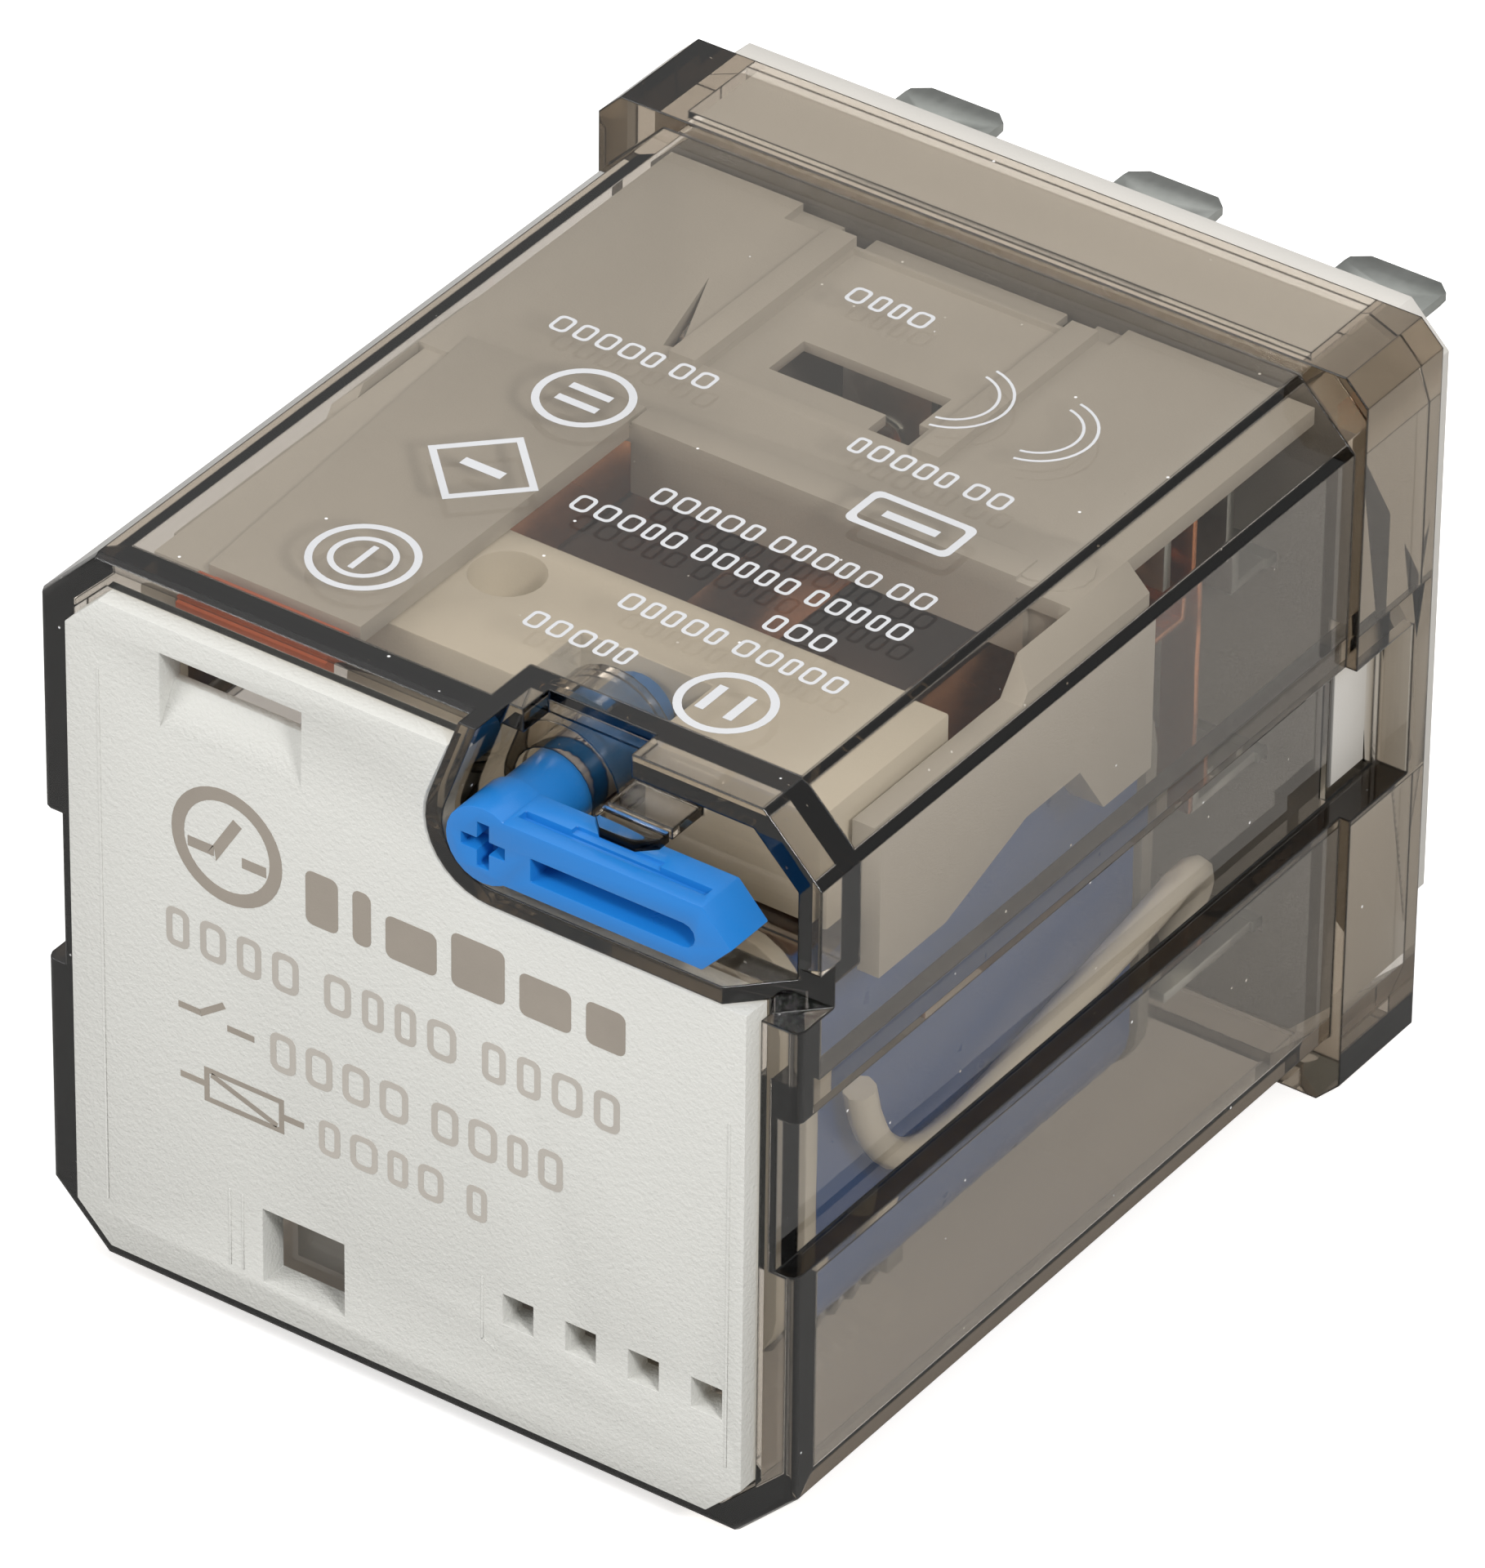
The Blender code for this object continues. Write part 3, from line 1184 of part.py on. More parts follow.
def frame_ribs():
    height = (FRAME_TOP_Z[0] + 0.1 * MM, FRAME_TOP_Z[1] + RIB_H)
    return [
        block(f"rib_{number}", (x - RIB_W / 2, x + RIB_W / 2), RIB_Y, height)
        for number, x in enumerate(RIB_X)
    ]


def frame_openings():
    """The sunk field and rear step in the frame's top, and the holes that go through it."""
    top = FRAME_TOP_Z[1]
    through = (FRAME_TOP_Z[0] - 0.5 * MM, top + MM)
    field_x = (RIB_X[0] + RIB_W / 2 + 0.01 * MM, RIB_X[1] - RIB_W / 2 - 0.01 * MM)
    field_z = (top - PANEL_DEPTH, top + MM)
    triangle = [(-9.0 * MM, -13.5 * MM), (-7.6 * MM, -18.7 * MM), (-6.9 * MM, -18.5 * MM)]
    openings = [
        block("panel_field", field_x, PANEL_Y, field_z),
        block("rear_step", REAR_STEP_X, (REAR_STEP_Y, -6.0 * MM), (top - 0.4 * MM, top + MM)),
        block("frame_window", FRAME_WINDOW_X, FRAME_WINDOW_Y, through),
        block("window_step", WINDOW_STEP_X, WINDOW_STEP_Y, through),
        extruded("corner_slot", triangle, "Z", through),
        cross_rod(
            "flag_pin_hole",
            FLAG_AXIS,
            FLAG_PIN_R + 0.2 * MM,
            (FLAG_PIN_X[0] - 0.4 * MM, RAIL_X[1] + MM),
        ),
    ]
    for number, x in enumerate(FRAME_NOTCH_X):
        openings.append(block(f"rear_notch_{number}", x, (FRAME_NOTCH_Y, -6.0 * MM), through))
    return openings


def frame_corner(side):
    """Slopes the frame's upper edges to suit the cover's chamfered corners."""
    reach = FRAME_WALL_X[1] + FRAME_TOP_Z[1] - 1.1 * MM
    outline = [
        (side * (reach - 18 * MM), 18 * MM),
        (side * (reach - 10 * MM), 10 * MM),
        (side * (reach - 10 * MM), 18 * MM),
    ]
    return extruded(f"frame_corner_{side}", outline, "Y", (-45 * MM, 0.0))


def make_frame():
    frame = block("contact_frame", (-FRAME_HALF_W, FRAME_HALF_W), FRAME_Y, FRAME_TOP_Z)
    for side in (-1, 1):
        join(frame, frame_wall(side), frame_partition(side))
    join(
        frame,
        block("flag_rail", RAIL_X, (RAIL_FRONT_Y, FRAME_Y[0] + 1.5 * MM), RAIL_Z),
        block(
            "slab_ledge",
            (RAIL_X[0] - 0.05 * MM, SLAB_LEFT_X[0] + 0.8 * MM),
            (RAIL_FRONT_Y - 0.05 * MM, FRAME_Y[0] + 1.6 * MM),
            LEDGE_Z,
        ),
        frame_slab(),
        block("front_beam", FRONT_BEAM_X, FRONT_BEAM_Y, FRONT_BEAM_Z),
        upright_rod("cheek_post", POST_CENTRE, POST_R, POST_Z, SMALL_STEPS),
        *frame_ribs(),
    )
    cut(frame, *frame_openings())
    cut(frame, frame_corner(-1), frame_corner(1))
    return finish(frame, BASE_GREY)


# ---------------------------------------------------------------- assembly


def main():
    make_cover()
    make_label_plate()
    make_base()
    make_fixed_contacts()
    make_moving_contacts()
    make_core()
    make_coil()
    make_yoke()
    make_return_spring()
    make_coil_leads()
    make_frame()

    carrier = make_carrier()
    moving = [make_armature(), carrier] + make_drive_springs()
    ride(axis_empty("armature_axis", (0.0, HINGE[0], HINGE[1])), moving)

    flag_axis = axis_empty("flag_axis", (0.0, FLAG_AXIS[0], FLAG_AXIS[1]))
    ride(flag_axis, [make_flag()])

    turn_axis = axis_empty("lever_turn_axis", (PIVOT_X, LEVER_Y[0], PIVOT_Z))
    ride(turn_axis, [make_pip()])
    push_axis = axis_empty("lever_push_axis", (PIVOT_X, LEVER_Y[0], PIVOT_Z))
    ride(push_axis, [make_test_lever()], parent=turn_axis)


main()
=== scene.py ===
import math
import random

import bmesh
import bpy
from mathutils import Matrix, Vector


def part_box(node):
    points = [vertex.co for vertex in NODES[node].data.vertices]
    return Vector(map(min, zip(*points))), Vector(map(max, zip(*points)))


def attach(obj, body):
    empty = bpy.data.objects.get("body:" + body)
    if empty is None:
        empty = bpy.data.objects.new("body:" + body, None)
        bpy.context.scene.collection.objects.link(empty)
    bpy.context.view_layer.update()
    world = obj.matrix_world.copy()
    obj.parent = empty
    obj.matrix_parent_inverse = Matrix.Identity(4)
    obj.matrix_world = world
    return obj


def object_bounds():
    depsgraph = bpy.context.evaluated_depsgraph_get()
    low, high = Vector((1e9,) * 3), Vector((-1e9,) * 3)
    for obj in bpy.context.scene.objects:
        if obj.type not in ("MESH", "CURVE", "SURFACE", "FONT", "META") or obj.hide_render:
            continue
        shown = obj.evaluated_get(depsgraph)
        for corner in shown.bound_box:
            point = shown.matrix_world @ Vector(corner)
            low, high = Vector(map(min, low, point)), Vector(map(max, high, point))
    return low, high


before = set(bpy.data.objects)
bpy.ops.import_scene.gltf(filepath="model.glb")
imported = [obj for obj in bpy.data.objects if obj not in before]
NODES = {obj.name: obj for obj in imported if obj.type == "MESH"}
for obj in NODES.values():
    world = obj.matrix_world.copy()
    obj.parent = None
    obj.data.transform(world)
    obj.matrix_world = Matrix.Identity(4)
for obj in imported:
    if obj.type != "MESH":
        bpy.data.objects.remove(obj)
CAD_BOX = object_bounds()
MM = 0.001

# Camera at the photograph's viewing angle
CAMERA_AT = Vector((262.08, -400.48, 323.35)) * MM
CAMERA_LOOKS = Vector((-0.46671, 0.67116, -0.57596))
CAMERA_ROLL = math.radians(0.70)
CAMERA_LENS = 315.33
CAMERA_SENSOR = 36.0


# ---------------------------------------------------------------- node helpers


class Tree:
    """A material's node tree with short calls for the nodes used here."""

    def __init__(self, name):
        self.material = bpy.data.materials.new(name)
        self.material.use_nodes = True
        self.nodes = self.material.node_tree.nodes
        self.links = self.material.node_tree.links
        self.nodes.clear()
        self.out = self.nodes.new("ShaderNodeOutputMaterial")
        self.texture = self.nodes.new("ShaderNodeTexCoord")
        self.place = self.texture.outputs["Object"]

    def put(self, socket, value):
        if isinstance(value, bpy.types.NodeSocket):
            self.links.new(value, socket)
        elif hasattr(value, "__len__") and len(value) == 3 and socket.type == "RGBA":
            socket.default_value = (*value, 1.0)
        else:
            socket.default_value = value

    def new(self, kind, inputs=None, **settings):
        node = self.nodes.new(kind)
        for key, value in settings.items():
            setattr(node, key, value)
        for key, value in (inputs or {}).items():
            self.put(node.inputs[key], value)
        return node

    def stretched(self, scale):
        """Object coordinates drawn out along the axes."""
        return self.new("ShaderNodeMapping", {"Vector": self.place, "Scale": scale}).outputs[0]

    def noise(self, scale, detail=3.0, roughness=0.5, vector=None):
        inputs = {
            "Vector": vector or self.place,
            "Scale": scale,
            "Detail": detail,
            "Roughness": roughness,
        }
        return self.new("ShaderNodeTexNoise", inputs).outputs["Fac"]

    def math(self, operation, a, b=0.0):
        return self.new("ShaderNodeMath", {0: a, 1: b}, operation=operation).outputs[0]

    def spread(self, value, low, high):
        """A 0 to 1 value put between low and high."""
        inputs = {"Value": value, "To Min": low, "To Max": high}
        return self.new("ShaderNodeMapRange", inputs).outputs[0]

    def window(self, value, start, end):
        """0 before start, 1 past end; end may lie below start."""
        inputs = {"Value": value, "From Min": start, "From Max": end}
        return self.new("ShaderNodeMapRange", inputs).outputs[0]

    def blend(self, factor, first, second):
        """Mixes two colours; 6 and 7 are the sockets of the node's colour pair."""
        node = self.new("ShaderNodeMix", data_type="RGBA")
        self.put(node.inputs["Factor"], factor)
        self.put(node.inputs[6], first)
        self.put(node.inputs[7], second)
        return node.outputs[2]

    def bump(self, height, distance, strength=1.0, normal=None):
        inputs = {"Height": height, "Distance": distance, "Strength": strength}
        node = self.new("ShaderNodeBump", inputs)
        if normal:
            self.put(node.inputs["Normal"], normal)
        return node.outputs[0]

    def principled(self, **inputs):
        named = {key.replace("_", " ").title(): value for key, value in inputs.items()}
        named = {key.replace("Ior", "IOR"): value for key, value in named.items()}
        return self.new("ShaderNodeBsdfPrincipled", named)

    def surface(self, shader):
        self.links.new(shader.outputs[0], self.out.inputs["Surface"])
        return self.material


def painted_shade_mask(t, along_y, along_z):
    """1 in the part of a piece between two Y and two Z places, in millimetres, where painted
    shade goes.
    """
    fade = 0.1
    split = t.new("ShaderNodeSeparateXYZ", {0: t.place})
    sides = []
    for axis, (low, high) in (("Y", along_y), ("Z", along_z)):
        place = split.outputs[axis]
        sides.append(t.window(place, (low - fade) * MM, low * MM))
        sides.append(t.window(place, (high + fade) * MM, high * MM))
    first = t.math("MULTIPLY", sides[0], sides[1])
    return t.math("MULTIPLY", first, t.math("MULTIPLY", sides[2], sides[3]))


def moulded(
    name,
    colour,
    roughness=0.5,
    grain=0.012,
    mottle=0.05,
    sheen=0.5,
    pitch=9000.0,
    painted_shade_zone=None,
    shade=None,
):
    """Moulded plastic: fine spark-eroded grain, faint mottling and slightly uneven gloss.

    Surfaces in painted_shade_zone, two ranges in Y and Z, take on the shade colour as painted
    shade, standing in for shadow deep in the relay.
    """
    t = Tree(name)
    cloud = t.noise(160.0, 4.0, 0.6)
    dark = tuple(c * (1 - mottle) for c in colour)
    light = tuple(min(1.0, c * (1 + mottle)) for c in colour)
    tint = t.blend(cloud, dark, light)
    # Painted shade: the zone's colour is swapped for a darker shade colour.
    if painted_shade_zone:
        tint = t.blend(painted_shade_mask(t, *painted_shade_zone), tint, shade or tuple(c * 0.3 for c in colour))
    fine = t.noise(pitch, 2.0, 0.6)
    rough = t.spread(t.noise(700.0, 3.0), roughness - 0.06, roughness + 0.06)
    normal = t.bump(fine, grain * MM)
    shader = t.principled(
        base_color=tint, roughness=rough, normal=normal, specular_ior_level=sheen
    )
    return t.surface(shader)


def metal(name, colour, roughness, stretch, depth=0.004, tarnish=None):
    """Rolled or drawn metal: streaks along one axis and uneven tarnish."""
    t = Tree(name)
    streak = t.noise(300.0, 4.0, 0.6, t.stretched(stretch))
    cloud = t.window(t.noise(260.0, 4.0, 0.65), 0.35, 0.75)
    stained = tarnish or tuple(c * 0.78 for c in colour)
    tint = t.blend(cloud, colour, stained)
    rough = t.spread(streak, roughness * 0.75, roughness * 1.3)
    shader = t.principled(
        base_color=tint,
        metallic=1.0,
        roughness=rough,
        normal=t.bump(streak, depth * MM),
    )
    return t.surface(shader)


def rounded_edges(t, width):
    """A normal that turns smoothly over the edges, within width in millimetres."""
    return t.new("ShaderNodeBevel", {"Radius": width * MM}, samples=8).outputs[0]


def near_edge(t, width):
    """1 within about width of a piece's edges, 0 on its open faces."""
    on_open_face = 0.998
    on_edge = 0.93
    rounded = rounded_edges(t, width)
    flat = t.new("ShaderNodeNewGeometry").outputs["True Normal"]
    facing = t.new("ShaderNodeVectorMath", {0: rounded, 1: flat}, operation="DOT_PRODUCT")
    return t.window(facing.outputs["Value"], on_open_face, on_edge)


def on_groove_ledge(t):
    """1 on the level faces of the cover's side grooves."""
    groove_depth = (16.6 * MM, 16.9 * MM)
    groove_height = (6.2 * MM, 5.8 * MM)
    place = t.new("ShaderNodeSeparateXYZ", {0: t.place})
    facing = t.new("ShaderNodeSeparateXYZ", {0: t.texture.outputs["Normal"]})
    level = t.window(t.math("ABSOLUTE", facing.outputs["Z"]), 0.5, 0.8)
    outer = t.window(t.math("ABSOLUTE", place.outputs["X"]), *groove_depth)
    middle = t.window(t.math("ABSOLUTE", place.outputs["Z"]), *groove_height)
    return t.math("MULTIPLY", level, t.math("MULTIPLY", outer, middle))


def cover_painted_dark(t):
    """Where the cover is painted near black as painted shade: along its edges and on the ledges
    of its grooves.
    """
    edge_width = 0.20
    ledge_darkness = 0.9
    uneven = t.spread(t.noise(350.0, 3.0), 0.88, 1.15)
    ledges = t.math("MULTIPLY", on_groove_ledge(t), ledge_darkness)
    both = t.math("MAXIMUM", near_edge(t, edge_width), ledges)
    return t.math("MULTIPLY", both, uneven)


def off_flat(t):
    """1 on faces that stand upright in the piece's own frame, 0 on its level faces."""
    split = t.new("ShaderNodeSeparateXYZ", {0: t.texture.outputs["Normal"]})
    return t.window(t.math("ABSOLUTE", split.outputs["Z"]), 0.9, 0.3)


# Near black painted on dark glass edges as painted shade.
PAINTED_SHADE_BLACK = (0.010, 0.009, 0.008)
SMOKE_COLOUR = (0.55, 0.475, 0.37)


def smoked(name, density, tint, painted_dark_part, ior=1.58, roughness=0.02):
    """Clear smoked polycarbonate with a little dust, and parts painted near black as painted
    shade.

    Lamps and bounced light pass straight through; what the camera sees through it is bent.
    """
    t = Tree(name)
    ripple = t.bump(t.noise(220.0, 2.0), 0.006 * MM, normal=rounded_edges(t, 0.12))
    handled = t.window(t.noise(420.0, 3.0, 0.6), 0.45, 0.75)
    # Painted shade: where dark is high the base colour turns near black and reflects less.
    dark = painted_dark_part(t)
    near_speck = t.new("ShaderNodeTexVoronoi", {"Vector": t.place, "Scale": 420.0})
    dust = t.window(near_speck.outputs["Distance"], 0.035, 0.02)
    glass = t.principled(
        base_color=t.blend(dark, (1.0, 1.0, 1.0), PAINTED_SHADE_BLACK),
        roughness=t.spread(handled, roughness, roughness + 0.03),
        specular_ior_level=t.spread(dark, 0.5, 0.3),
        transmission_weight=t.spread(dust, 1.0, 0.15),
        ior=ior,
        normal=ripple,
    )
    passed = t.new("ShaderNodeBsdfTransparent", {"Color": tint})
    light = t.new("ShaderNodeLightPath")
    straight = t.math(
        "MAXIMUM", light.outputs["Is Shadow Ray"], light.outputs["Is Diffuse Ray"]
    )
    mix = t.new("ShaderNodeMixShader", {0: straight})
    t.links.new(glass.outputs[0], mix.inputs[1])
    t.links.new(passed.outputs[0], mix.inputs[2])
    absorb = t.new("ShaderNodeVolumeAbsorption", {"Color": SMOKE_COLOUR, "Density": density})
    t.links.new(absorb.outputs[0], t.out.inputs["Volume"])
    return t.surface(mix)


# ---------------------------------------------------------------- CAD nodes' finish


def smooth_by_angle(limit):
    """A node group that shades smooth and keeps edges over the limit, in degrees, sharp."""
    group = bpy.data.node_groups.new("smooth_by_angle", "GeometryNodeTree")
    group.interface.new_socket("Geometry", in_out="INPUT", socket_type="NodeSocketGeometry")
    group.interface.new_socket("Geometry", in_out="OUTPUT", socket_type="NodeSocketGeometry")
    nodes, links = group.nodes, group.links
    start = nodes.new("NodeGroupInput")
    end = nodes.new("NodeGroupOutput")
    angle = nodes.new("GeometryNodeInputMeshEdgeAngle")
    gentle = nodes.new("FunctionNodeCompare")
    gentle.operation = "LESS_THAN"
    gentle.inputs["B"].default_value = math.radians(limit)
    faces = nodes.new("GeometryNodeSetShadeSmooth")
    edges = nodes.new("GeometryNodeSetShadeSmooth")
    edges.domain = "EDGE"
    links.new(angle.outputs["Unsigned Angle"], gentle.inputs["A"])
    links.new(start.outputs[0], faces.inputs["Geometry"])
    links.new(faces.outputs[0], edges.inputs["Geometry"])
    links.new(gentle.outputs[0], edges.inputs["Shade Smooth"])
    links.new(edges.outputs[0], end.inputs[0])
    return group


SMOOTH = smooth_by_angle(32)
ROUND = smooth_by_angle(70)
SAME_POINT = 1e-6
SAME_FACE = math.radians(0.5)
BEVELLED_OVER = math.radians(40)


def finish_node(name, material, edge=0.06, shading=SMOOTH):
    """Gives a CAD node its material, softened edges and smooth round faces."""
    node = NODES[name]
    node.data.materials.clear()
    node.data.materials.append(material)
    weld = node.modifiers.new("Weld", "WELD")
    weld.merge_threshold = SAME_POINT
    flat = node.modifiers.new("Flat faces", "DECIMATE")
    flat.decimate_type = "DISSOLVE"
    flat.angle_limit = SAME_FACE
    if edge:
        bevel = node.modifiers.new("Edges", "BEVEL")
        bevel.width = edge * MM
        bevel.segments = 2
        bevel.limit_method = "ANGLE"
        bevel.angle_limit = BEVELLED_OVER
        bevel.use_clamp_overlap = True
    shade = node.modifiers.new("Shading", "NODES")
    shade.node_group = shading
    if not edge:
        even = node.modifiers.new("Flat large faces", "WEIGHTED_NORMAL")
        even.keep_sharp = True
        even.weight = 100
    return node


def numbered(name, count):
    return [f"{name}_{i}" for i in range(1, count + 1)]


CLEAR_TINT = (0.90, 0.885, 0.86)
# Cover edges and groove ledges, and the pip's upright sides, are painted near black as painted
# shade.
SMOKED = smoked("smoked_polycarbonate", 385.0, CLEAR_TINT, cover_painted_dark)
PIP = smoked("smoked_polycarbonate_pip", 350.0, CLEAR_TINT, off_flat, ior=1.2)
LABEL = moulded("label_plastic", (0.62, 0.62, 0.59), 0.62, grain=0.05, mottle=0.015, pitch=5200.0)
INK = moulded("label_ink", (0.30, 0.265, 0.225), 0.6, grain=0.01, mottle=0.18)
PALE_INK = moulded("label_ink_pale", (0.44, 0.41, 0.37), 0.6, grain=0.01, mottle=0.12)
WHITE_INK = moulded("cover_ink", (0.60, 0.61, 0.63), 0.55, grain=0.01, mottle=0.10)
# Base and frame: surfaces in the given Y and Z ranges are darkened as painted shade.
BASE = moulded("base_plastic", (0.60, 0.58, 0.545), 0.48, painted_shade_zone=((-30, -6.1), (-18, 17)))
FRAME = moulded("frame_plastic", (0.56, 0.545, 0.515), 0.5, painted_shade_zone=((-19.2, -5), (-18, 14.3)))
BLUE = moulded("lever_plastic", (0.012, 0.185, 0.56), 0.30, grain=0.006, mottle=0.03)
ORANGE = moulded("flag_plastic", (0.58, 0.12, 0.03), 0.45)
IVORY = moulded("carrier_plastic", (0.80, 0.765, 0.68), 0.5)
# The bobbin's rear part, Y -20 to 0 mm, is darkened as painted shade.
BOBBIN = moulded("bobbin_plastic", (0.70, 0.68, 0.62), 0.42, painted_shade_zone=((-20, 0), (-18, 18)))
SLEEVE = moulded("lead_sleeve", (0.78, 0.76, 0.70), 0.4)
# The tape's top, above Z 5 mm, is painted dark brown as painted shade.
TAPE = moulded(
    "coil_tape",
    (0.014, 0.082, 0.30),
    0.3,
    grain=0.01,
    mottle=0.16,
    painted_shade_zone=((-40, 0), (5.0, 18)),
    shade=(0.07, 0.032, 0.018),
)
COPPER = metal("spring_copper", (0.66, 0.29, 0.14), 0.24, (1, 8, 1), tarnish=(0.36, 0.15, 0.08))
ENAMEL = metal("enamelled_wire", (0.50, 0.16, 0.05), 0.3, (1, 30, 1))
TIN = metal("tinned_brass", (0.52, 0.54, 0.52), 0.34, (10, 1, 1), tarnish=(0.36, 0.38, 0.36))
SILVER = metal("contact_silver", (0.82, 0.80, 0.76), 0.22, (1, 1, 1))
ZINC = metal("zinc_steel", (0.50, 0.50, 0.49), 0.38, (1, 6, 1))
SPRING = metal("spring_steel", (0.40, 0.40, 0.40), 0.3, (1, 1, 1))

finish_node("cover", SMOKED, 0.0)
finish_node("break_off_pip", PIP, 0.03)
finish_node("label_plate", LABEL, 0.08)
finish_node("base", BASE, 0.10)
finish_node("contact_frame", FRAME, 0.10)
finish_node("test_lever", BLUE, 0.10)
finish_node("indicator_flag", ORANGE)
finish_node("contact_carrier", IVORY, 0.12)
finish_node("bobbin", BOBBIN)
finish_node("coil_tape", TAPE)
finish_node("coil_winding", ENAMEL)
finish_node("core", ZINC)
finish_node("yoke", ZINC)
finish_node("armature", ZINC)
finish_node("return_spring", SPRING, 0.0, ROUND)
for name in numbered("coil_lead", 2):
    finish_node(name, SLEEVE, 0.0, ROUND)
for name in numbered("drive_spring", 3) + numbered("moving_spring", 3):
    finish_node(name, COPPER, 0.04)
for kind in ("nc_contact", "no_contact", "moving_contact"):
    for name in numbered(kind, 3):
        finish_node(name, SILVER, 0.0)
TERMINALS = (("nc_terminal", 3), ("no_terminal", 3), ("common_terminal", 3), ("coil_terminal", 2))
for kind, count in TERMINALS:
    for name in numbered(kind, count):
        finish_node(name, TIN, 0.05)


# ---------------------------------------------------------------- generic prints


def add_object(name, data):
    obj = bpy.data.objects.new(name, data)
    bpy.context.scene.collection.objects.link(obj)
    return obj


def circle(centre, radius, count=40):
    return [
        (
            centre[0] + radius * math.cos(2 * math.pi * i / count),
            centre[1] + radius * math.sin(2 * math.pi * i / count),
        )
        for i in range(count)
    ]


def box(centre, size, corner=0.0):
    """A rectangle with rounded corners."""
    if not corner:
        return [
            (centre[0] + sx * size[0] / 2, centre[1] + sy * size[1] / 2)
            for sx, sy in ((-1, -1), (1, -1), (1, 1), (-1, 1))
        ]
    reach = (size[0] / 2 - corner, size[1] / 2 - corner)
    points = []
    for quarter, (sx, sy) in enumerate(((1, 1), (-1, 1), (-1, -1), (1, -1))):
        for step in range(5):
            turn = math.radians(90 * quarter + 22.5 * step)
            points.append(
                (
                    centre[0] + sx * reach[0] + corner * math.cos(turn),
                    centre[1] + sy * reach[1] + corner * math.sin(turn),
                )
            )
    return points


def stroke(start, end, width):
    """A straight line of some width."""
    along = (Vector(end) - Vector(start)).normalized() * width / 2
    side = Vector((-along.y, along.x))
    corners = [Vector(start) - side, Vector(end) - side, Vector(end) + side, Vector(start) + side]
    return [tuple(c) for c in corners]


def moved(centre, point):
    return (centre[0] + point[0], centre[1] + point[1])


def diamond(reach):
    return [(0, -reach), (reach, 0), (0, reach), (-reach, 0)]


def ring(centre, radius, width):
    """A circle's outline and the circle that is cut out of it."""
    return [circle(centre, radius), circle(centre, radius - width)]


def arc_band(centre, radius, width, start_deg, end_deg, count=18):
    def turned(r, angles):
        return [
            (centre[0] + r * math.cos(math.radians(a)), centre[1] + r * math.sin(math.radians(a)))
            for a in angles
        ]

    angles = [start_deg + (end_deg - start_deg) * i / count for i in range(count + 1)]
    return turned(radius, angles) + turned(radius - width, angles[::-1])


def pills(x, middle, height, seed, width=1.15, gap=0.45, word=4, line=0.0):
    """A row of plain rounded frames that stands where a line of print would be."""
    draw = random.Random(seed)
    row = []
    at = x[0]
    count = 0
    while True:
        wide = width * draw.uniform(0.8, 1.15)
        if at + wide > x[1] + 0.01:
            return row
        centre = (at + wide / 2, middle)
        row.append(box(centre, (wide, height), 0.32 * wide))
        if line:
            inner = (wide - 2 * line, height - 2 * line)
            row.append(box(centre, inner, 0.32 * inner[0]))
        count += 1
        at += wide + gap
        if count % word == 0:
            at += gap * 1.3


def printed(name, outlines, material, place, thickness=0.012):
    """Flat shapes in millimetres laid as a thin film; place puts the film on its face."""
    curve = bpy.data.curves.new(name, "CURVE")
    curve.dimensions = "2D"
    curve.fill_mode = "BOTH"
    curve.extrude = thickness * MM / 2
    for outline in outlines:
        spline = curve.splines.new("POLY")
        spline.points.add(len(outline) - 1)
        spline.use_cyclic_u = True
        for point, (u, v) in zip(spline.points, outline):
            point.co = (u * MM, v * MM, 0.0, 1.0)
    flat = add_object(name + "_outline", curve)
    bpy.context.view_layer.update()
    graph = bpy.context.evaluated_depsgraph_get()
    mesh = bpy.data.meshes.new_from_object(flat.evaluated_get(graph))
    bpy.data.objects.remove(flat, do_unlink=True)
    shape = bmesh.new()
    shape.from_mesh(mesh)
    bmesh.ops.remove_doubles(shape, verts=shape.verts, dist=1e-7)
    shape.to_mesh(mesh)
    shape.free()
    mesh.transform(place)
    mesh.materials.clear()
    mesh.materials.append(material)
    film = add_object(name, mesh)
    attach(film, "housing")
    return film


LABEL_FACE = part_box("label_plate")[0].y
COVER_TOP = 17.35 * MM
PRINT_LIFT = 0.006 * MM  # half the thickness of a printed film
ON_LABEL = Matrix.Translation((0.0, LABEL_FACE - PRINT_LIFT, 0.0)) @ Matrix(
    ((1, 0, 0, 0), (0, 0, -1, 0), (0, 1, 0, 0), (0, 0, 0, 1))
)
ON_TOP = Matrix.Translation((0.0, 0.0, COVER_TOP + PRINT_LIFT))


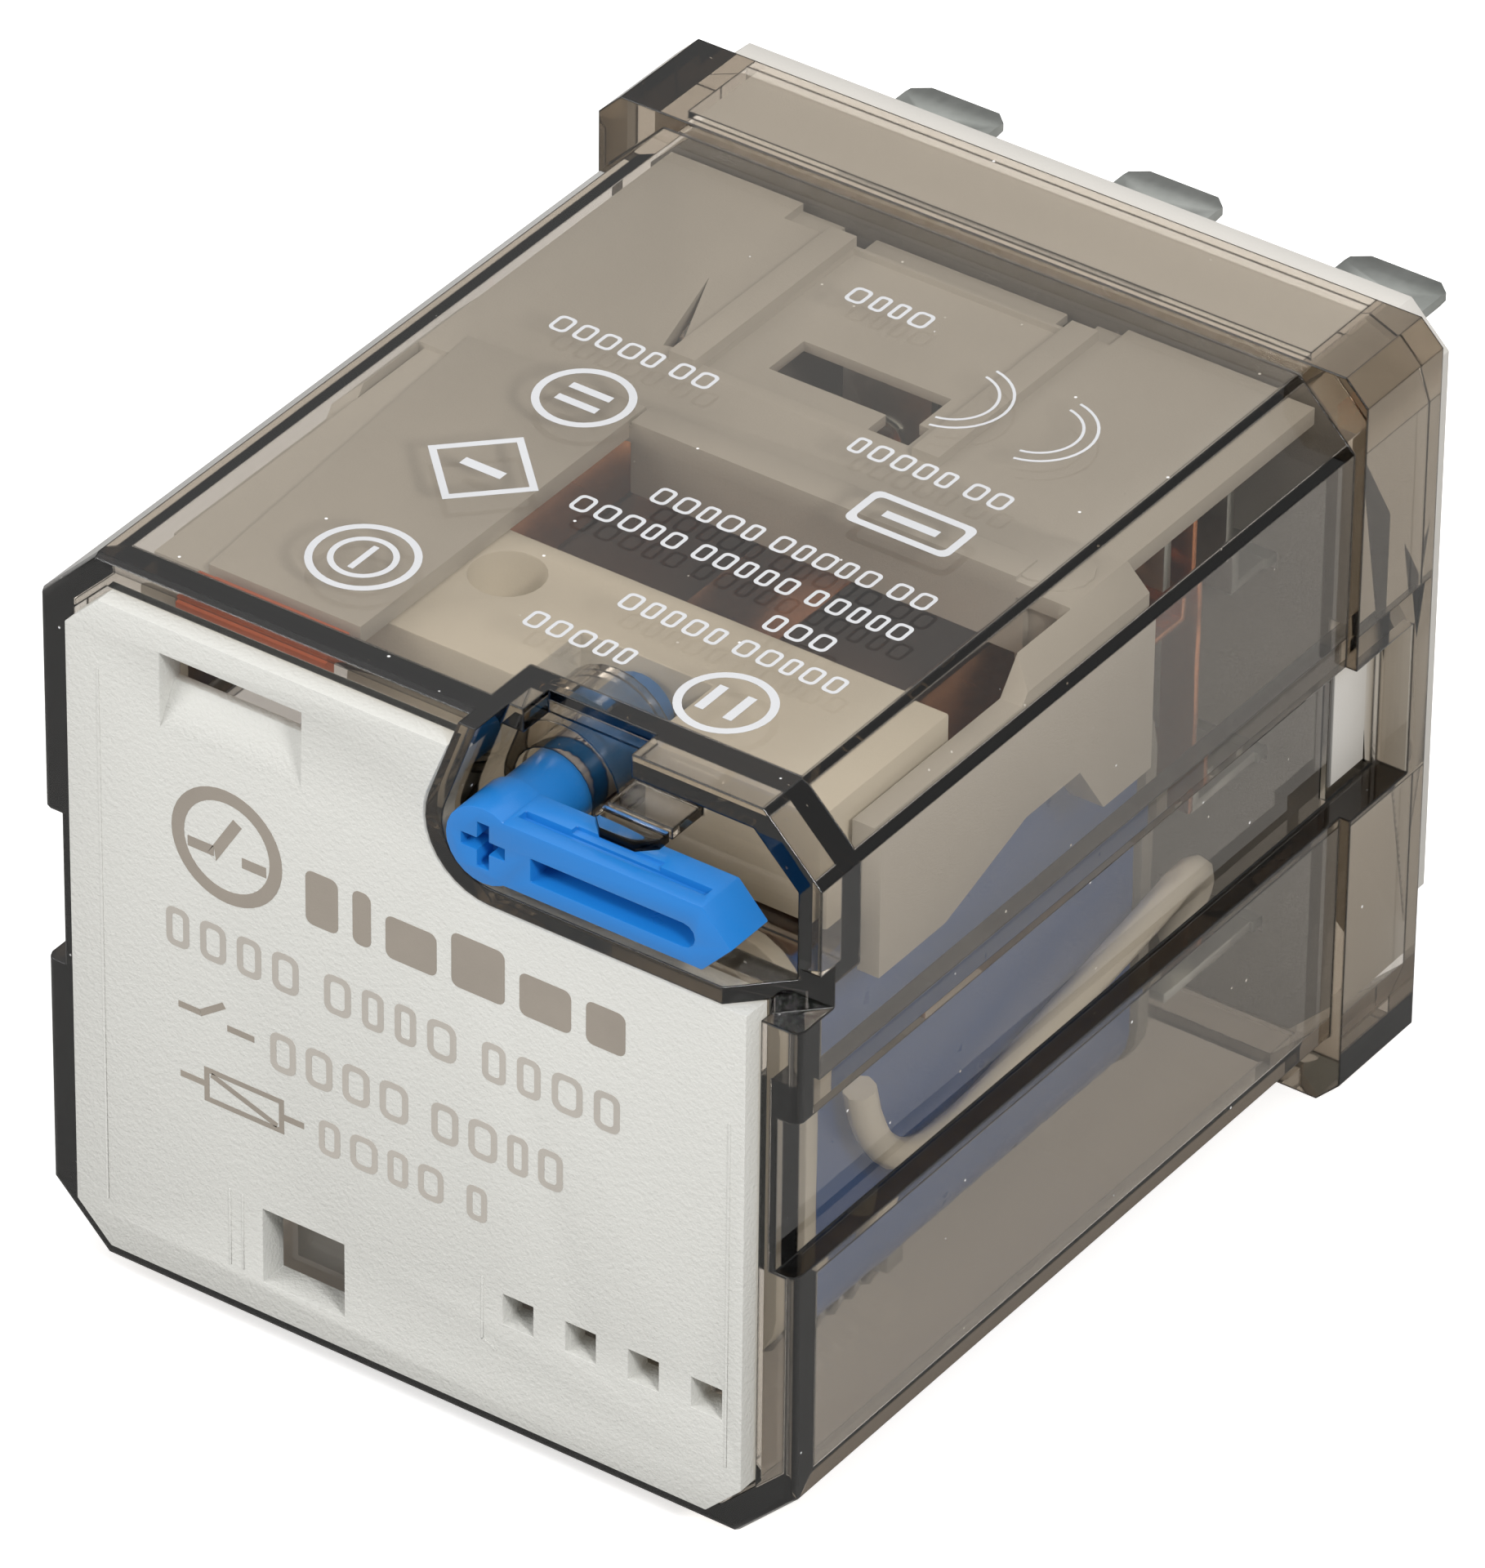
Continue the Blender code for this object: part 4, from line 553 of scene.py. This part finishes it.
def make_label_print():
    """A ring emblem with a contact sign, a bold bar row, finer rows and two circuit symbols."""
    emblem = (-8.65, 6.6)
    bold = ring(emblem, 2.75, 0.62)
    contact_sign = (
        ((-1.95, -0.45), (-0.65, -0.45)),
        ((-0.75, -0.75), (0.55, 1.35)),
        ((0.75, -0.45), (1.95, -0.45)),
    )
    for start, end in contact_sign:
        bold.append(stroke(moved(emblem, start), moved(emblem, end), 0.5))
    at = -4.75
    bars = ((1.6, 2.6), (0.9, 2.6), (2.5, 2.05), (2.6, 2.6), (2.5, 2.05), (1.9, 2.05))
    for width, height in bars:
        bold.append(box((at + width / 2, 4.6 + height / 2), (width, height), 0.35))
        at += width + 0.72
    printed("label_print_bold", bold, INK, ON_LABEL)
    fine = [
        stroke((-11.2, -2.15), (-10.1, -2.15), 0.3),
        stroke((-10.15, -2.2), (-8.9, -1.3), 0.3),
        stroke((-8.75, -2.35), (-7.4, -2.35), 0.3),
        stroke((-11.15, -5.6), (-9.95, -5.6), 0.3),
        stroke((-5.95, -5.6), (-4.95, -5.6), 0.3),
        box((-7.95, -5.6), (4.0, 1.7)),
        box((-7.95, -5.6), (3.5, 1.2)),
    ]
    printed("label_symbols", fine, INK, ON_LABEL)
    slash = [stroke((-9.6, -5.05), (-6.3, -6.15), 0.26)]
    printed("label_coil_slash", slash, INK, ON_LABEL)
    rows = pills((-11.75, 11.9), 1.6, 1.9, 3, width=1.3, gap=0.55, line=0.3)
    rows += pills((-6.6, 8.4), -2.45, 1.9, 5, width=1.25, gap=0.5, line=0.3)
    rows += pills((-4.2, 4.9), -5.7, 1.7, 8, width=1.2, gap=0.5, line=0.28)
    printed("label_rows", rows, PALE_INK, ON_LABEL)


def make_label_ridges():
    """Very low moulding lines on the plate."""
    lines = [
        stroke((-15.0, 12.7), (-15.0, -13.6), 0.10),
        stroke((-8.75, -10.4), (-8.75, -14.2), 0.09),
        stroke((-8.1, -10.4), (-8.1, -14.2), 0.07),
        stroke((3.9, -9.2), (3.9, -12.3), 0.09),
        stroke((3.9, -12.3), (4.6, -12.6), 0.09),
        stroke((15.85, 3.6), (15.85, -13.4), 0.10),
    ]
    printed("label_ridges", lines, LABEL, ON_LABEL, thickness=0.05)


def make_cover_print():
    """White marks on the cover's top: rings, a diamond, open arcs and plain bar rows."""
    marks = ring((-7.0, -40.0), 2.35, 0.32)
    marks += ring((-7.0, -40.0), 1.45, 0.26)
    marks.append(stroke((-7.0, -40.9), (-7.0, -39.1), 0.28))
    for reach in (2.75, 2.3):
        marks.append([moved((-6.9, -32.1), corner) for corner in diamond(reach)])
    marks.append(stroke((-7.9, -32.1), (-5.9, -32.1), 0.5))
    marks += ring((-6.6, -25.6), 2.15, 0.34)
    marks += [stroke((-7.6, y), (-5.6, y), 0.4) for y in (-25.1, -26.1)]
    marks += ring((10.45, -39.8), 2.1, 0.36)
    marks += [stroke((x, -40.7), (x, -38.9), 0.42) for x in (9.75, 11.1)]
    for x in (5.3, 9.4):
        marks += [arc_band((x, -16.6), radius, 0.13, -80, 80) for radius in (2.5, 1.9)]
    marks += [box((9.2, -25.3), (5.0, 2.5), 0.4), box((9.2, -25.3), (4.3, 1.8), 0.3)]
    marks += [stroke((7.9, -25.3), (10.5, -25.3), 0.45)]
    rows = (
        ((-10.9, -2.9), -21.7),
        ((4.0, 12.3), -21.9),
        ((-2.4, 2.3), -12.9),
        ((-2.6, 14.1), -31.8),
        ((-0.3, 13.8), -29.5),
        ((8.5, 12.4), -34.2),
        ((3.0, 14.0), -36.3),
        ((0.7, 6.8), -39.5),
    )
    for seed, (span, middle) in enumerate(rows):
        marks += pills(span, middle, 1.15, seed + 20, width=0.78, gap=0.3, word=5, line=0.16)
    printed("cover_print", marks, WHITE_INK, ON_TOP)


make_label_print()
make_label_ridges()
make_cover_print()


# ---------------------------------------------------------------- stage


# The floor as the camera sees it, as it is seen through the cover, and as it lights the relay
FLOOR_SEEN = ((0.90, 0.90, 0.90), (0.93, 0.93, 0.93))
FLOOR_THROUGH_COVER = (0.80, 0.79, 0.78)
FLOOR_TO_OTHERS = (0.46, 0.455, 0.445)
FLOOR_GLOW = 0.45
FLOOR_GLOW_THROUGH = 0.14
FLOOR_HALF = 3.0
FLOOR_GAP = 0.02 * MM

HORIZON = 0.26
OVERHEAD = 1.10
TENT_WHITE = (1.0, 0.99, 0.975, 1.0)
LAMPS_AIM_AT = Vector((0.0, -0.02, 0.0))


def make_floor():
    lowest = CAD_BOX[0].z - FLOOR_GAP
    shape = bmesh.new()
    bmesh.ops.create_grid(shape, x_segments=1, y_segments=1, size=FLOOR_HALF)
    mesh = bpy.data.meshes.new("floor")
    shape.to_mesh(mesh)
    shape.free()
    floor = add_object("floor", mesh)
    floor.location.z = lowest
    t = Tree("floor_paper")
    tint = t.blend(t.noise(40.0, 3.0), *FLOOR_SEEN)
    path = t.new("ShaderNodeLightPath")
    seen = path.outputs["Is Camera Ray"]
    through = t.blend(path.outputs["Is Transmission Ray"], FLOOR_TO_OTHERS, FLOOR_THROUGH_COVER)
    grey = t.blend(seen, through, tint)
    paper = t.principled(base_color=grey, roughness=0.9, specular_ior_level=0.2)
    t.put(paper.inputs["Emission Color"], (1.0, 1.0, 1.0))
    under = t.math("MULTIPLY", path.outputs["Is Transmission Ray"], FLOOR_GLOW_THROUGH)
    glow = t.math("MAXIMUM", t.math("MULTIPLY", seen, FLOOR_GLOW), under)
    t.put(paper.inputs["Emission Strength"], glow)
    floor.data.materials.append(t.surface(paper))


def area_light(name, at, size, power):
    lamp = bpy.data.lights.new(name, "AREA")
    lamp.shape = "RECTANGLE"
    lamp.size, lamp.size_y = size
    lamp.energy = power
    obj = add_object(name, lamp)
    obj.location = at
    obj.rotation_euler = (LAMPS_AIM_AT - obj.location).to_track_quat("-Z", "Y").to_euler()


def make_world():
    """A white tent: brightest overhead and greyer towards the horizon."""
    world = bpy.data.worlds.new("studio")
    world.use_nodes = True
    nodes, links = world.node_tree.nodes, world.node_tree.links
    place = nodes.new("ShaderNodeTexCoord")
    split = nodes.new("ShaderNodeSeparateXYZ")
    rise = nodes.new("ShaderNodeMapRange")
    rise.interpolation_type = "SMOOTHSTEP"
    rise.inputs["From Min"].default_value = 0.30
    rise.inputs["From Max"].default_value = 0.90
    rise.inputs["To Min"].default_value = HORIZON
    rise.inputs["To Max"].default_value = OVERHEAD
    links.new(place.outputs["Generated"], split.inputs[0])
    links.new(split.outputs["Z"], rise.inputs["Value"])
    links.new(rise.outputs[0], nodes["Background"].inputs["Strength"])
    nodes["Background"].inputs["Color"].default_value = TENT_WHITE
    bpy.context.scene.world = world


def make_light():
    make_world()
    area_light("key_right", Vector((0.56, -0.36, 0.55)), (0.14, 0.14), 4.0)
    area_light("fill_left", Vector((-0.45, -0.60, 0.35)), (0.5, 0.4), 3.0)


def make_camera():
    data = bpy.data.cameras.new("camera")
    data.lens = CAMERA_LENS
    data.sensor_width = CAMERA_SENSOR
    data.clip_start = 0.01
    data.clip_end = 50.0
    camera = add_object("camera", data)
    forward = CAMERA_LOOKS.normalized()
    level = forward.cross(Vector((0, 0, 1))).normalized()
    up = level.cross(forward)
    turn = Matrix((level, up, -forward)).transposed().to_4x4()
    camera.matrix_world = (
        Matrix.Translation(CAMERA_AT) @ turn @ Matrix.Rotation(CAMERA_ROLL, 4, "Z")
    )
    bpy.context.scene.camera = camera


make_floor()
make_light()
make_camera()
scene = bpy.context.scene
scene.view_settings.view_transform = "Standard"
scene.cycles.transparent_max_bounces = 32
scene.cycles.max_bounces = 24
scene.cycles.transmission_bounces = 24
